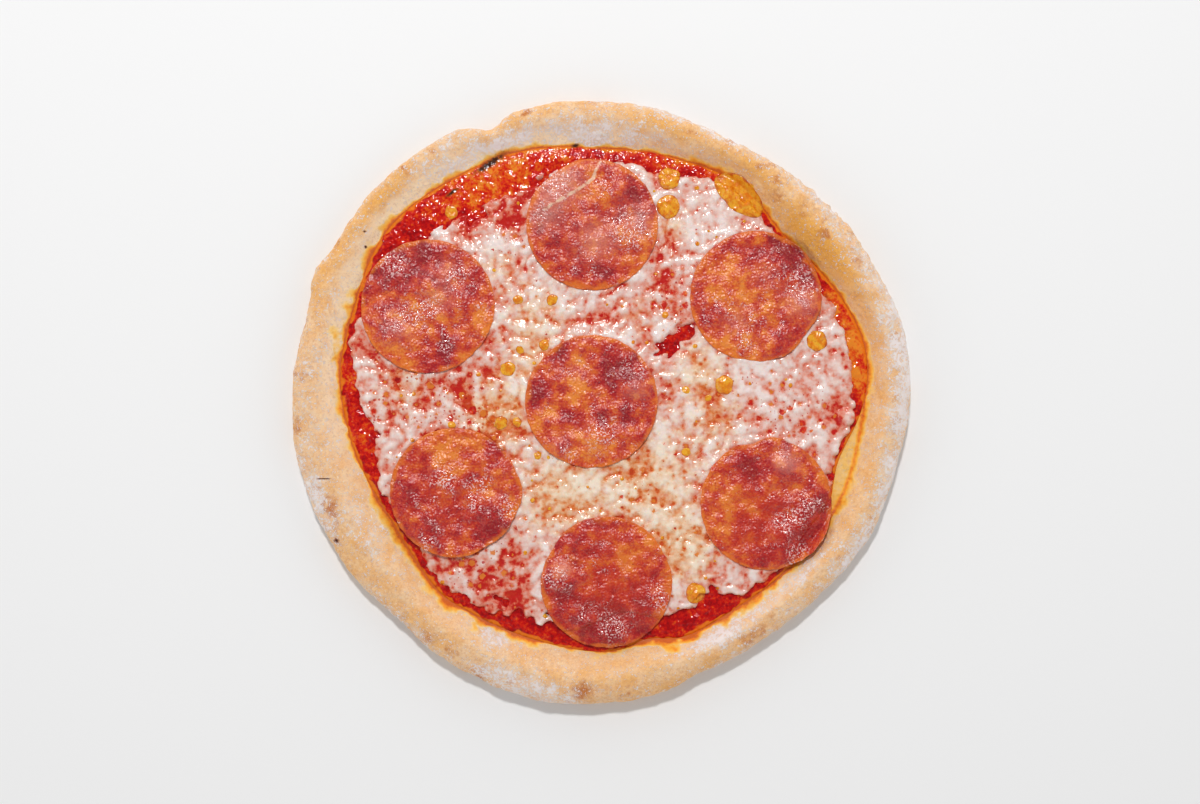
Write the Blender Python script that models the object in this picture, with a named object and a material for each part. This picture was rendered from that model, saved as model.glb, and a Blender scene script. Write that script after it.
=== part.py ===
"""A whole baked salami pizza, uncut, lying on its flat underside.

The dough is one piece: a thin base and a puffed rim, pulled by hand, so it is only roughly round.
Tomato sauce is spread on the base, melted cheese lies on the sauce, and salami slices and
blisters of melted fat lie on the cheese. Everything is modelled in metres from sizes in millimetres,
with +Z up and the origin under the middle of the pizza, on the surface it lies on.
"""

import math

import bmesh
import bpy
from mathutils import Matrix, Vector, noise
from mathutils.bvhtree import BVHTree

MM = 0.001

# Clearance between pieces that lie on each other.
GAP = 0.3

# The dough. A lobe is (where it is in degrees, its half width in degrees, how far it stands out).
RIM_REACH = 147.4
RIM_LOBES = (
    (9, 19, 4.1),
    (62, 18, -4.9),
    (112, 4, -4.5),
    (134, 22, 4.6),
    (157, 5, 3.2),
    (186, 22, 3.8),
    (228, 9, -2.6),
    (259, 8, 1.6),
    (289, 6, -1.8),
    (304, 22, -7.2),
    (322, 6, -0.8),
    (349, 9, -1.4),
)
FOOT_REACH = 123.7
FOOT_LOBES = (
    (11, 15, 7.0),
    (42, 10, -3.6),
    (60, 8, 1.8),
    (89, 6, -1.0),
    (112, 15, 4.2),
    (141, 19, 9.6),
    (172, 12, 3.6),
    (210, 16, -6.4),
    (231, 5, 1.2),
    (250, 26, -3.8),
    (281, 6, -5.0),
    (303, 15, -4.0),
    (343, 14, 2.4),
)
RIM_HEIGHT = 16.0
RIM_HEIGHT_LOBES = (
    (30, 40, 2.0),
    (98, 22, -3.0),
    (138, 26, -4.5),
    (190, 22, -1.6),
    (268, 25, 1.2),
    (315, 16, -0.8),
)
BASE_TOP = 4.5
BELLY_HEIGHT = 7.0
UNDERCUT = 8.0
CROWN_SHARE = 0.52
RIM_LUMP = 0.9
RIM_LUMP_SPACING = 17.0

# The sauce is flat under the cheese and thins over its last few millimetres. It ends close to the
# rim's foot, but leaves a strip of base bare on the right.
SAUCE_TOP = 6.0
SAUCE_INSIDE_FOOT = 0.8
BARE_STRIP_LOBES = ((345, 11, -6.0),)
SAUCE_FEATHER = 3.5
SAUCE_EDGE_TOP = 5.4

# The cheese leaves sauce bare at the upper left, on the left and along the bottom.
CHEESE_REACH = 118.0
CHEESE_LOBES = (
    (8, 22, 4.5),
    (57, 12, 3.0),
    (75, 8, -4.0),
    (93, 14, -1.0),
    (122, 12, -15.0),
    (150, 9, -9.0),
    (163, 10, 8.5),
    (192, 9, -9.0),
    (216, 8, -6.0),
    (230, 6, 4.0),
    (250, 10, -7.0),
    (276, 14, -18.0),
    (299, 6, -12.0),
    (311, 6, 1.0),
    (328, 8, -3.0),
)
CHEESE_INSIDE_SAUCE = 4.0
CHEESE_THICKNESS = 1.9
CHEESE_EDGE_THICKNESS = 0.6
CHEESE_LUMP = 0.7
CHEESE_LUMP_SPACING = 20.0
BARE_PATCH_PLACE = (34.5, 29.0)
BARE_PATCH_HALF_SIZE = (10.5, 3.8)
BARE_PATCH_TURN = 33.0

# Salami: name, place of the middle, radius, which way its edge curls up and how far, and its dents.
SALAMI_THICKNESS = 1.3
SALAMI = (
    ("salami_top", (-4.6, 86.4), 32.0, 140, 0.9, ((128, 14, -1.4),)),
    ("salami_upper_right", (75.1, 51.2), 32.0, 60, 0.8, ((262, 16, -1.0), (324, 14, -1.8))),
    ("salami_upper_left", (-84.6, 46.6), 32.6, 200, 0.9, ((318, 20, -0.6),)),
    ("salami_middle", (-4.9, 0.3), 32.3, 330, 0.7, ((135, 18, -0.7),)),
    ("salami_lower_left", (-71.5, -44.1), 31.4, 250, 1.6, ((0, 16, 1.6), (300, 10, -1.0))),
    ("salami_lower_right", (80.2, -49.8), 32.0, 15, 0.9, ((104, 8, -1.9), (82, 8, 0.9))),
    ("salami_bottom", (2.4, -87.8), 32.0, 345, 0.8, ((150, 16, -1.2), (30, 14, -0.8))),
)

# Fat blisters: name, place, half length, half width, turn in degrees, and height.
BLISTERS = (
    ("fat_blister_oval", (67.2, 100.9), 14.4, 7.6, -41, 2.2),
    ("fat_blister_top", (32.9, 109.0), 5.6, 5.6, 0, 1.6),
    ("fat_blister_high", (32.6, 95.2), 5.5, 5.8, 0, 1.6),
    ("fat_blister_right", (104.9, 29.8), 5.0, 5.0, 0, 1.5),
    ("fat_blister_inner", (59.8, 8.3), 4.6, 4.6, 0, 1.5),
    ("fat_blister_low", (45.8, -93.2), 5.0, 5.0, 0, 1.5),
)

# Finished colours: red, green, blue, roughness.
FINISHES = {
    "baked_dough": (0.78, 0.50, 0.25, 0.75),
    "tomato_sauce": (0.50, 0.03, 0.01, 0.30),
    "melted_cheese": (0.80, 0.58, 0.40, 0.40),
    "salami": (0.52, 0.12, 0.05, 0.35),
    "melted_fat": (0.72, 0.32, 0.03, 0.25),
}

SEGMENTS = 90
SALAMI_SEGMENTS = 30
BLISTER_SEGMENTS = 14


def clear_scene():
    for old in list(bpy.data.objects):
        bpy.data.objects.remove(old, do_unlink=True)


def finish(name):
    """A material of the given name from the table of finishes, made once."""
    made = bpy.data.materials.get(name)
    if made:
        return made
    red, green, blue, roughness = FINISHES[name]
    made = bpy.data.materials.new(name)
    made.use_nodes = True
    shader = made.node_tree.nodes["Principled BSDF"]
    shader.inputs["Base Color"].default_value = (red, green, blue, 1.0)
    shader.inputs["Roughness"].default_value = roughness
    shader.inputs["Metallic"].default_value = 0.0
    return made


def lobed(angle, mean, lobes):
    """A reach that is the mean plus a smooth bell for each lobe, for an angle in degrees."""
    reach = mean
    for at, half_width, rise in lobes:
        off = (angle - at + 180) % 360 - 180
        reach += rise * math.exp(-((off / half_width) ** 2))
    return reach


def smooth(share):
    """0 to 1 with level ends."""
    share = min(1.0, max(0.0, share))
    return share * share * (3 - 2 * share)


def lump(x, y, spacing, seed):
    """Soft unevenness from -1 to 1, with lumps about one spacing apart."""
    return noise.noise(Vector((x / spacing, y / spacing, seed)))


def foot_reach(angle):
    """Where the rim starts to rise from the base."""
    return lobed(angle, FOOT_REACH, FOOT_LOBES)


def sauce_reach(angle):
    return lobed(angle, foot_reach(angle) - SAUCE_INSIDE_FOOT, BARE_STRIP_LOBES)


def cheese_reach(angle):
    return min(lobed(angle, CHEESE_REACH, CHEESE_LOBES), sauce_reach(angle) - CHEESE_INSIDE_SAUCE)


def around(angle, reach, height, middle=(0.0, 0.0)):
    """A point in metres at an angle and a reach from the middle, all in millimetres and degrees."""
    turn = math.radians(angle)
    x = middle[0] + reach * math.cos(turn)
    y = middle[1] + reach * math.sin(turn)
    return Vector((x, y, height)) * MM


def ringed_solid(name, rings, top, bottom, material):
    """A closed solid from rings of points, listed from the top middle out and back to the bottom middle."""
    count = len(rings[0])
    points = [top]
    for ring in rings:
        points.extend(ring)
    points.append(bottom)
    last = len(points) - 1
    faces = []
    for i in range(count):
        after = (i + 1) % count
        faces.append((0, 1 + i, 1 + after))
        for k in range(len(rings) - 1):
            here = 1 + k * count
            below = here + count
            faces.append((here + i, below + i, below + after, here + after))
        foot = 1 + (len(rings) - 1) * count
        faces.append((foot + after, foot + i, last))
    mesh = bpy.data.meshes.new(name)
    mesh.from_pydata([tuple(p) for p in points], [], faces)
    mesh.materials.append(finish(material))
    obj = bpy.data.objects.new(name, mesh)
    bpy.context.collection.objects.link(obj)
    work = bmesh.new()
    work.from_mesh(mesh)
    bmesh.ops.recalc_face_normals(work, faces=work.faces)
    bmesh.ops.triangulate(work, faces=work.faces, quad_method="SHORT_EDGE")
    work.to_mesh(mesh)
    work.free()
    mesh.shade_smooth()
    mesh.set_sharp_from_angle(angle=math.radians(50))
    return obj


def rim_section(angle):
    """The rim cut through at an angle, as (reach, height) from the foot inside to the underside."""
    foot = foot_reach(angle)
    edge = lobed(angle, RIM_REACH, RIM_LOBES)
    crown = foot + (edge - foot) * CROWN_SHARE
    height = lobed(angle, RIM_HEIGHT, RIM_HEIGHT_LOBES)
    section = []
    for share in (0.0, 0.22, 0.45, 0.7):
        rise = smooth(share) ** 0.8
        section.append((foot + (crown - foot) * share, BASE_TOP + (height - BASE_TOP) * rise))
    for turn in (0, 24, 46, 68, 90):
        a = math.radians(turn)
        out = crown + (edge - crown) * math.sin(a)
        up = BELLY_HEIGHT + (height - BELLY_HEIGHT) * math.cos(a)
        section.append((out, up))
    for turn in (35, 65):
        a = math.radians(turn)
        out = edge - UNDERCUT * (1 - math.cos(a))
        up = BELLY_HEIGHT * (1 - math.sin(a))
        section.append((out, up))
    section.append((edge - UNDERCUT, 0.0))
    return section


def rim_bump(reach, angle):
    """Uneven puffing of the rim, none at its foot or under it."""
    x = reach * math.cos(math.radians(angle))
    y = reach * math.sin(math.radians(angle))
    return RIM_LUMP * lump(x, y, RIM_LUMP_SPACING, 3.0)


def make_crust():
    """The dough in one piece: a level base inside and a puffed, uneven rim round it."""
    angles = [360 * i / SEGMENTS for i in range(SEGMENTS)]
    rings = [[around(a, foot_reach(a) * share, BASE_TOP) for a in angles] for share in (0.35, 0.7)]
    sections = [rim_section(a) for a in angles]
    puffed = range(2, 9)
    for k in range(len(sections[0])):
        ring = []
        for a, section in zip(angles, sections):
            reach, height = section[k]
            bump = rim_bump(reach, a) if k in puffed else 0.0
            ring.append(around(a, reach, height + bump))
        rings.append(ring)
    rings.append([around(a, 0.5 * RIM_REACH, 0.0) for a in angles])
    return ringed_solid("crust", rings, Vector((0, 0, BASE_TOP * MM)), Vector((0, 0, 0)), "baked_dough")


def make_sauce():
    """A level layer of sauce on the base that thins towards its wavy edge."""
    angles = [360 * i / SEGMENTS for i in range(SEGMENTS)]
    bottom = BASE_TOP + GAP
    shoulder = 0.45 * SAUCE_TOP + 0.55 * SAUCE_EDGE_TOP
    rings = [
        [around(a, sauce_reach(a) * 0.5, SAUCE_TOP) for a in angles],
        [around(a, sauce_reach(a) - SAUCE_FEATHER, SAUCE_TOP) for a in angles],
        [around(a, sauce_reach(a) - 0.4 * SAUCE_FEATHER, shoulder) for a in angles],
        [around(a, sauce_reach(a), SAUCE_EDGE_TOP) for a in angles],
        [around(a, sauce_reach(a), bottom) for a in angles],
    ]
    top_middle = Vector((0, 0, SAUCE_TOP)) * MM
    bottom_middle = Vector((0, 0, bottom)) * MM
    return ringed_solid("tomato_sauce", rings, top_middle, bottom_middle, "tomato_sauce")


def cheese_top(angle, reach, edge):
    """Height of the cheese: a lumpy layer that rounds down towards its edge."""
    x = reach * math.cos(math.radians(angle))
    y = reach * math.sin(math.radians(angle))
    full = CHEESE_THICKNESS + CHEESE_LUMP * lump(x, y, CHEESE_LUMP_SPACING, 7.0)
    inside = min(1.0, (edge - reach) / 9.0)
    share = math.sqrt(max(0.0, 1 - (1 - inside) ** 2))
    return SAUCE_TOP + GAP + CHEESE_EDGE_THICKNESS + (full - CHEESE_EDGE_THICKNESS) * share


def make_cheese():
    """Melted cheese: one lumpy layer with a wandering edge and one bare patch left open through it."""
    angles = [360 * i / SEGMENTS for i in range(SEGMENTS)]
    rings = []
    for share in (0.12, 0.26, 0.4, 0.54, 0.67, 0.79, 0.89, 0.96, 1.0):
        ring = []
        for a in angles:
            edge = cheese_reach(a)
            ring.append(around(a, edge * share, cheese_top(a, edge * share, edge)))
        rings.append(ring)
    bottom = SAUCE_TOP + GAP
    rings.append([around(a, cheese_reach(a), bottom) for a in angles])
    top = Vector((0, 0, cheese_top(0, 0, CHEESE_REACH))) * MM
    cheese = ringed_solid("melted_cheese", rings, top, Vector((0, 0, bottom)) * MM, "melted_cheese")
    open_patch(cheese)
    return cheese


def open_patch(cheese):
    """Cuts the bare patch through the cheese with an oval column."""
    half_length, half_width = BARE_PATCH_HALF_SIZE
    turn = math.radians(BARE_PATCH_TURN)
    rings = []
    for height in (SAUCE_TOP + 6.0, SAUCE_TOP - 3.0):
        ring = []
        for i in range(20):
            a = 2 * math.pi * i / 20
            along = half_length * math.cos(a)
            across = half_width * math.sin(a) * (1 + 0.25 * math.cos(a))
            x = BARE_PATCH_PLACE[0] + along * math.cos(turn) - across * math.sin(turn)
            y = BARE_PATCH_PLACE[1] + along * math.sin(turn) + across * math.cos(turn)
            ring.append(Vector((x, y, height)) * MM)
        rings.append(ring)
    middle = [Vector((*BARE_PATCH_PLACE, h)) * MM for h in (SAUCE_TOP + 6.0, SAUCE_TOP - 3.0)]
    cutter = ringed_solid("bare_patch_cutter", rings, middle[0], middle[1], "melted_cheese")
    cut = cheese.modifiers.new("bare_patch", "BOOLEAN")
    cut.operation = "DIFFERENCE"
    cut.object = cutter
    bpy.context.view_layer.update()
    graph = bpy.context.evaluated_depsgraph_get()
    opened = bpy.data.meshes.new_from_object(cheese.evaluated_get(graph))
    cheese.modifiers.remove(cut)
    cheese.data = opened
    bpy.data.objects.remove(cutter, do_unlink=True)


def surfaces(objects):
    """Ray-castable copies of the given objects' meshes, in world space."""
    graph = bpy.context.evaluated_depsgraph_get()
    return [BVHTree.FromObject(obj, graph) for obj in objects]


def support_height(x, y, trees):
    """The highest surface under a place, in metres."""
    start = Vector((x, y, 0.1))
    hits = [tree.ray_cast(start, Vector((0, 0, -1)))[0] for tree in trees]
    return max((hit.z for hit in hits if hit), default=0.0)


SAMPLES = tuple((i / 4, j / 4, (4 - i - j) / 4) for i in range(5) for j in range(5 - i))


def settle(points, faces, trees):
    """Raises the points of a sheet until every spot of every face clears what lies under it by the gap."""
    for _ in range(12):
        moved = False
        for face in faces:
            corners = [points[i] for i in face]
            lack = 0.0
            for weights in SAMPLES:
                spot = sum((c * w for c, w in zip(corners, weights)), Vector())
                lack = max(lack, support_height(spot.x, spot.y, trees) + GAP * MM - spot.z)
            if lack > 1e-7:
                moved = True
                for i in face:
                    points[i].z += lack
        if not moved:
            return


def sheet_on(name, middle, reach_of, shares, thickness_of, lift_of, trees, segments, material):
    """A thin solid laid on what is under it. Its underside settles; its top follows at its thickness."""
    angles = [360 * i / segments for i in range(segments)]
    under = [Vector((middle[0], middle[1], 0.0)) * MM]
    for share in shares:
        under.extend(around(a, reach_of(a) * share, 0.0, middle) for a in angles)
    for i, point in enumerate(under):
        share, a = (0.0, 0.0) if i == 0 else (shares[(i - 1) // segments], angles[(i - 1) % segments])
        point.z = support_height(point.x, point.y, trees) + (GAP + lift_of(a, share)) * MM
    faces = []
    for i in range(segments):
        after = (i + 1) % segments
        faces.append((0, 1 + i, 1 + after))
        for k in range(len(shares) - 1):
            a, b = 1 + k * segments, 1 + (k + 1) * segments
            faces.append((a + i, b + i, b + after))
            faces.append((a + i, b + after, a + after))
    settle(under, faces, trees)
    top = [p + Vector((0, 0, thickness_of(0.0) * MM)) for p in under[:1]]
    for k, share in enumerate(shares):
        ring = under[1 + k * segments:1 + (k + 1) * segments]
        top.extend(p + Vector((0, 0, thickness_of(share) * MM)) for p in ring)
    count = len(under)
    solid = [tuple(reversed(face)) for face in faces]
    solid += [tuple(i + count for i in face) for face in faces]
    outer = 1 + (len(shares) - 1) * segments
    for i in range(segments):
        after = (i + 1) % segments
        solid.append((outer + i, outer + after, count + outer + after))
        solid.append((outer + i, count + outer + after, count + outer + i))
    mesh = bpy.data.meshes.new(name)
    mesh.from_pydata([tuple(p) for p in under + top], [], solid)
    mesh.materials.append(finish(material))
    mesh.shade_smooth()
    mesh.set_sharp_from_angle(angle=math.radians(50))
    obj = bpy.data.objects.new(name, mesh)
    bpy.context.collection.objects.link(obj)
    return obj


def make_salami(row, trees):
    """One slice: a thin disc draped on the cheese, with its edge curling up towards one side."""
    name, middle, radius, curl_way, curl, dents = row

    def reach_of(angle):
        return lobed(angle, radius, dents)

    def lift_of(angle, share):
        towards = 0.5 + 0.5 * math.cos(math.radians(angle - curl_way))
        return curl * towards * share**4

    def thickness_of(share):
        return SALAMI_THICKNESS - 0.4 * share**8

    shares = (0.3, 0.62, 0.87, 1.0)
    build = (thickness_of, lift_of, trees, SALAMI_SEGMENTS, "salami")
    return sheet_on(name, middle, reach_of, shares, *build)


def make_blister(row, trees):
    """A low oval dome of fat that has risen through the cheese."""
    name, middle, half_length, half_width, turn, height = row

    def reach_of(angle):
        off = math.radians(angle - turn)
        scale = math.hypot(half_width * math.cos(off), half_length * math.sin(off))
        return half_length * half_width / scale

    def thickness_of(share):
        return 0.4 + (height - 0.4) * math.sqrt(max(0.0, 1 - share**2))

    def lift_of(angle, share):
        return 0.0

    shares = (0.45, 0.82, 1.0)
    build = (thickness_of, lift_of, trees, BLISTER_SEGMENTS, "melted_fat")
    return sheet_on(name, middle, reach_of, shares, *build)


def centre_under(leader):
    """Moves every piece sideways until the middle of the leader's box is over the origin."""
    xs = [v.co.x for v in leader.data.vertices]
    ys = [v.co.y for v in leader.data.vertices]
    shift = Vector((-(min(xs) + max(xs)) / 2, -(min(ys) + max(ys)) / 2, 0.0))
    for piece in bpy.data.objects:
        piece.data.transform(Matrix.Translation(shift))


def main():
    clear_scene()
    laid = [make_crust(), make_sauce(), make_cheese()]
    bpy.context.view_layer.update()
    for row in SALAMI:
        make_salami(row, surfaces(laid))
    for row in BLISTERS:
        make_blister(row, surfaces(laid))
    centre_under(laid[0])


main()
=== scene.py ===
"""The looks of a whole baked salami pizza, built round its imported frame."""

import math

import bpy
import numpy as np
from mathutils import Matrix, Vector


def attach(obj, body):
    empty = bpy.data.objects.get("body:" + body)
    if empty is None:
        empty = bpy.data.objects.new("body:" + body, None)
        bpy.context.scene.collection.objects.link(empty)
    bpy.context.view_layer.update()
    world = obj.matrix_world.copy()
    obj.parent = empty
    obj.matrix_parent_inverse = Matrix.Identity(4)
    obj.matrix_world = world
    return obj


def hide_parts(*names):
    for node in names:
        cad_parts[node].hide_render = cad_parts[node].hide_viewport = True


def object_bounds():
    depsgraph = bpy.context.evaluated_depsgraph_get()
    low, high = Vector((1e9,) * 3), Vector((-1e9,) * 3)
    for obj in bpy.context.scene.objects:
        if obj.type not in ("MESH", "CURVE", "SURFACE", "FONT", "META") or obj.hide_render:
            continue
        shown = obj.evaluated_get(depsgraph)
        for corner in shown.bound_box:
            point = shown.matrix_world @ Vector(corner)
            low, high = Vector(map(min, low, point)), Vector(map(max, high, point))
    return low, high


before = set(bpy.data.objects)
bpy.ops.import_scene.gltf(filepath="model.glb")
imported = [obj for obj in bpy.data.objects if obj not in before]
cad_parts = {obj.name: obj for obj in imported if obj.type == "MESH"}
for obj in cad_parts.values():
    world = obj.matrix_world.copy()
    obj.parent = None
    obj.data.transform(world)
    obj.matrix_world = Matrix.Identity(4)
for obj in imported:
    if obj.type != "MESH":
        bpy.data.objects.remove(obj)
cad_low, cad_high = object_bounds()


# The view, the table and the light. The pizza lies on a plain pale table and is seen from straight
# above. One small lamp above its far side throws short, crisp shadows towards the near side. A white
# room fills them, brighter from the walls than from the ceiling.
MM = 0.001
PHOTO_WIDTH = 1200
PHOTO_HEIGHT = 804
PHOTO_MM_PER_PIXEL = 0.4878
PIZZA_MIDDLE_PIXEL = (601.5, 402.0)
# The middle of the outlines below, in the frame, whose origin is the middle of the pizza's box.
OUTLINE_MIDDLE = (0.110, 0.140)
LENS = 50.0
SENSOR = 36.0
SHARP_HEIGHT = 7.0
KEY_FROM = (-0.07, 0.62, 1.0)
KEY_DISTANCE = 1.9
KEY_SIZE = 0.16
KEY_POWER = 18.3
ROOM_WALL_LIGHT = 1.12
ROOM_CEILING_LIGHT = 0.20
# Heights on a ball round the pizza: where the walls' light starts to fade, and where the ceiling starts.
ROOM_WALL_TOP = 0.3
ROOM_CEILING_EDGE = 0.9
TABLE_TONE = (0.90, 0.90, 0.90)
TABLE_REACH = 3.0

camera_data = bpy.data.cameras.new("camera")
camera_data.lens = LENS
camera_data.sensor_width = SENSOR
camera = bpy.data.objects.new("camera", camera_data)
camera_x = OUTLINE_MIDDLE[0] + (PHOTO_WIDTH / 2 - PIZZA_MIDDLE_PIXEL[0]) * PHOTO_MM_PER_PIXEL
camera_y = OUTLINE_MIDDLE[1] - (PHOTO_HEIGHT / 2 - PIZZA_MIDDLE_PIXEL[1]) * PHOTO_MM_PER_PIXEL
camera_z = SHARP_HEIGHT + LENS / SENSOR * PHOTO_WIDTH * PHOTO_MM_PER_PIXEL
camera.location = (camera_x * MM, camera_y * MM, camera_z * MM)
bpy.context.collection.objects.link(camera)
bpy.context.scene.camera = camera

key_data = bpy.data.lights.new("key_lamp", "AREA")
key_data.shape = "DISK"
key_data.size = KEY_SIZE
key_data.energy = KEY_POWER
key_lamp = bpy.data.objects.new("key_lamp", key_data)
key_way = np.array(KEY_FROM) / np.linalg.norm(KEY_FROM)
key_lamp.location = tuple(key_way * KEY_DISTANCE)
key_tilt = math.atan2(math.hypot(key_way[0], key_way[1]), key_way[2])
key_turn = math.atan2(key_way[0], -key_way[1])
key_lamp.rotation_euler = (key_tilt, 0.0, key_turn)
bpy.context.collection.objects.link(key_lamp)

room = bpy.data.worlds.new("room")
room.use_nodes = True
room_nodes = room.node_tree.nodes
sky_place = room_nodes.new("ShaderNodeTexCoord")
sky_height = room_nodes.new("ShaderNodeSeparateXYZ")
sky_light = room_nodes.new("ShaderNodeMapRange")
sky_light.interpolation_type = "SMOOTHSTEP"
sky_light.inputs["From Min"].default_value = ROOM_WALL_TOP
sky_light.inputs["From Max"].default_value = ROOM_CEILING_EDGE
sky_light.inputs["To Min"].default_value = ROOM_WALL_LIGHT
sky_light.inputs["To Max"].default_value = ROOM_CEILING_LIGHT
room.node_tree.links.new(sky_place.outputs["Generated"], sky_height.inputs["Vector"])
room.node_tree.links.new(sky_height.outputs["Z"], sky_light.inputs["Value"])
room.node_tree.links.new(sky_light.outputs["Result"], room_nodes["Background"].inputs["Strength"])
room_nodes["Background"].inputs["Color"].default_value = (1.0, 1.0, 1.0, 1.0)
bpy.context.scene.world = room
bpy.context.scene.view_settings.view_transform = "Standard"

table_mesh = bpy.data.meshes.new("table")
table_corners = [(x * TABLE_REACH, y * TABLE_REACH, 0) for x, y in ((-1, -1), (1, -1), (1, 1), (-1, 1))]
table_mesh.from_pydata(table_corners, [], [(0, 1, 2, 3)])
table = bpy.data.objects.new("table", table_mesh)
table_paint = bpy.data.materials.new("pale_table")
table_paint.use_nodes = True
table_shader = table_paint.node_tree.nodes["Principled BSDF"]
table_shader.inputs["Base Color"].default_value = (*TABLE_TONE, 1.0)
table_shader.inputs["Roughness"].default_value = 0.9
table_shader.inputs["Specular IOR Level"].default_value = 0.0
table_mesh.materials.append(table_paint)
bpy.context.collection.objects.link(table)


# The crust. One piece of hand-stretched dough: a thin base and a puffed rim, baked pale gold, dusted
# with flour, and browned in spots. Its section runs from the base over the crown to the underside and
# is carried round the pizza, then pushed out by noise.
RIM_REACH = 147.3
# A lobe is a direction and a half width in degrees, and how far out (in, below 0) it moves a line.
RIM_LOBES = (
    (9, 19, 4.1),
    (62, 18, -4.9),
    (112, 3.2, -5.6),
    (134, 22, 4.6),
    (156, 5, 3.6),
    (186, 22, 3.8),
    (228, 9, -2.6),
    (259, 8, 1.6),
    (289, 6, -1.8),
    (304, 22, -7.2),
    (322, 6, -0.8),
    (349, 9, -1.4),
)
FOOT_REACH = 123.7
FOOT_LOBES = (
    (11, 15, 7),
    (42, 10, -3.6),
    (60, 8, 1.8),
    (89, 6, -1),
    (112, 15, 4.2),
    (141, 19, 9.6),
    (172, 12, 3.6),
    (210, 16, -6.4),
    (231, 5, 1.2),
    (250, 26, -3.8),
    (281, 6, -5),
    (303, 15, -4),
    (343, 14, 2.4),
)
RIM_HEIGHT = 15.7
RIM_HEIGHT_LOBES = (
    (30, 40, 2),
    (98, 22, -3),
    (138, 26, -4.5),
    (190, 22, -1.6),
    (268, 25, 1.2),
    (315, 16, -0.8),
)
BASE_TOP = 4.5
BELLY_HEIGHT = 7.0
UNDERCUT = 8.0
CROWN_SHARE = 0.52
CROWN_LOBES = ((122, 50, 0.20),)
CRUST_COLUMNS = 960
# Browned places: middle, radius and depth of browning.
BROWNED = (
    (-9, -139.5, 6.5, 1),
    (107, 81, 3.5, 0.9),
    (-130, -53, 4.5, 0.7),
    (-128, -67, 3, 0.8),
    (-84, -113.5, 5.5, 0.8),
    (-28, -128.5, 6, 0.4),
    (-61, -131, 5, 0.5),
    (-98.5, -104, 6, 0.4),
    (-94, 112.5, 5, 0.4),
    (-34, 137.5, 7, 0.4),
    (84.5, 100, 5, 0.7),
    (97, 92, 5, 0.6),
    (132, 72, 4, 0.5),
)
# Burnt specks, and one small slit in the rim drawn only as a dark streak, its shade painted: middle,
# half length, half width, turn.
BURNT_AND_SLIT = (
    (-54.5, 116.5, 7.5, 1.5, 33),
    (-12.9, 125.4, 1.6, 0.9, 20),
    (-73, 102.4, 2.8, 0.9, 35),
    (108, 49.3, 2.6, 1.5, 60),
    (111.6, 44.2, 1.3, 1.3, 0),
    (-128.6, -67.3, 1.2, 1, 0),
    (-114.9, 82.9, 0.6, 0.5, 0),
    (-114.9, 75.6, 0.5, 0.6, 0),
    (-134.3, -37.1, 2.9, 0.3, 2),
)
# Flour: direction, half width in degrees, place across the rim from foot to edge, half width there, amount.
FLOURED = (
    (92, 16, 0.36, 0.40, 0.85),
    (112, 14, 0.34, 0.34, 0.95),
    (122, 12, 0.62, 0.30, 0.60),
    (150, 30, 0.75, 0.40, 0.20),
    (8, 26, 0.84, 0.38, 1.05),
    (78, 12, 1.00, 0.26, 0.80),
    (128, 34, 1.00, 0.16, 0.40),
    (338, 26, 0.94, 0.36, 0.85),
    (45, 14, 0.98, 0.24, 0.60),
    (64, 10, 1.00, 0.24, 0.90),
    (300, 18, 0.95, 0.22, 0.40),
    (255, 12, 0.84, 0.30, 0.95),
    (245, 6, 0.20, 0.24, 0.70),
    (199, 9, 0.92, 0.28, 1.00),
    (230, 14, 0.98, 0.18, 0.55),
    (299, 11, 0.30, 0.26, 1.05),
    (318, 10, 0.28, 0.20, 0.60),
    (180, 30, 0.70, 0.50, 0.30),
    (208, 12, 0.40, 0.36, 0.45),
    (0, 200, 0.85, 0.50, 0.15),
)
# Golden dough: the same five numbers.
GOLDEN = (
    (36, 16, 0.36, 0.32, 1.30),
    (58, 14, 0.58, 0.32, 0.85),
    (78, 12, 0.66, 0.28, 0.85),
    (8, 20, 0.25, 0.26, 0.50),
    (340, 20, 0.25, 0.30, 0.45),
    (330, 16, 0.78, 0.22, 0.45),
    (274, 16, 0.45, 0.30, 0.50),
    (288, 16, 0.88, 0.26, 0.60),
    (210, 12, 0.78, 0.30, 0.50),
    (230, 16, 0.80, 0.34, 0.50),
    (138, 16, 0.72, 0.26, 0.95),
    (152, 12, 0.78, 0.30, 0.75),
    (104, 10, 0.84, 0.24, 0.45),
    (215, 10, 0.20, 0.30, 0.30),
)
# Pale, barely baked dough on the inner slope, partly painted light: from 90 to 170 degrees the slope
# faces away from the lamp and is painted paler to lift its shade. Direction, half width in degrees,
# strength.
PALE_DOUGH_AND_LIGHT = (
    (185, 12, 0.5),
    (150, 12, 1),
    (130, 16, 1),
    (168, 10, 0.7),
    (108, 14, 0.8),
    (90, 12, 0.4),
    (315, 9, 0.5),
)
# How far the oil has soaked into the slope from its foot, in millimetres.
OIL_REACH = 1.9
OIL_LOBES = (
    (138, 20, 0.6),
    (163, 10, 2.4),
    (210, 10, 1.4),
    (228, 8, 0.7),
    (241, 9, 2.2),
    (285, 9, 2.4),
    (302, 10, 1.3),
    (60, 10, 0.6),
    (15, 14, -0.4),
    (102, 10, -0.3),
)


def from_screen(red, green, blue):
    """A screen colour, 0 to 255, as the light it stands for: ((c / 255 + 0.055) / 1.055) to the power 2.4."""
    return tuple(((c / 255 + 0.055) / 1.055) ** 2.4 for c in (red, green, blue)) + (1.0,)


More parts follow.
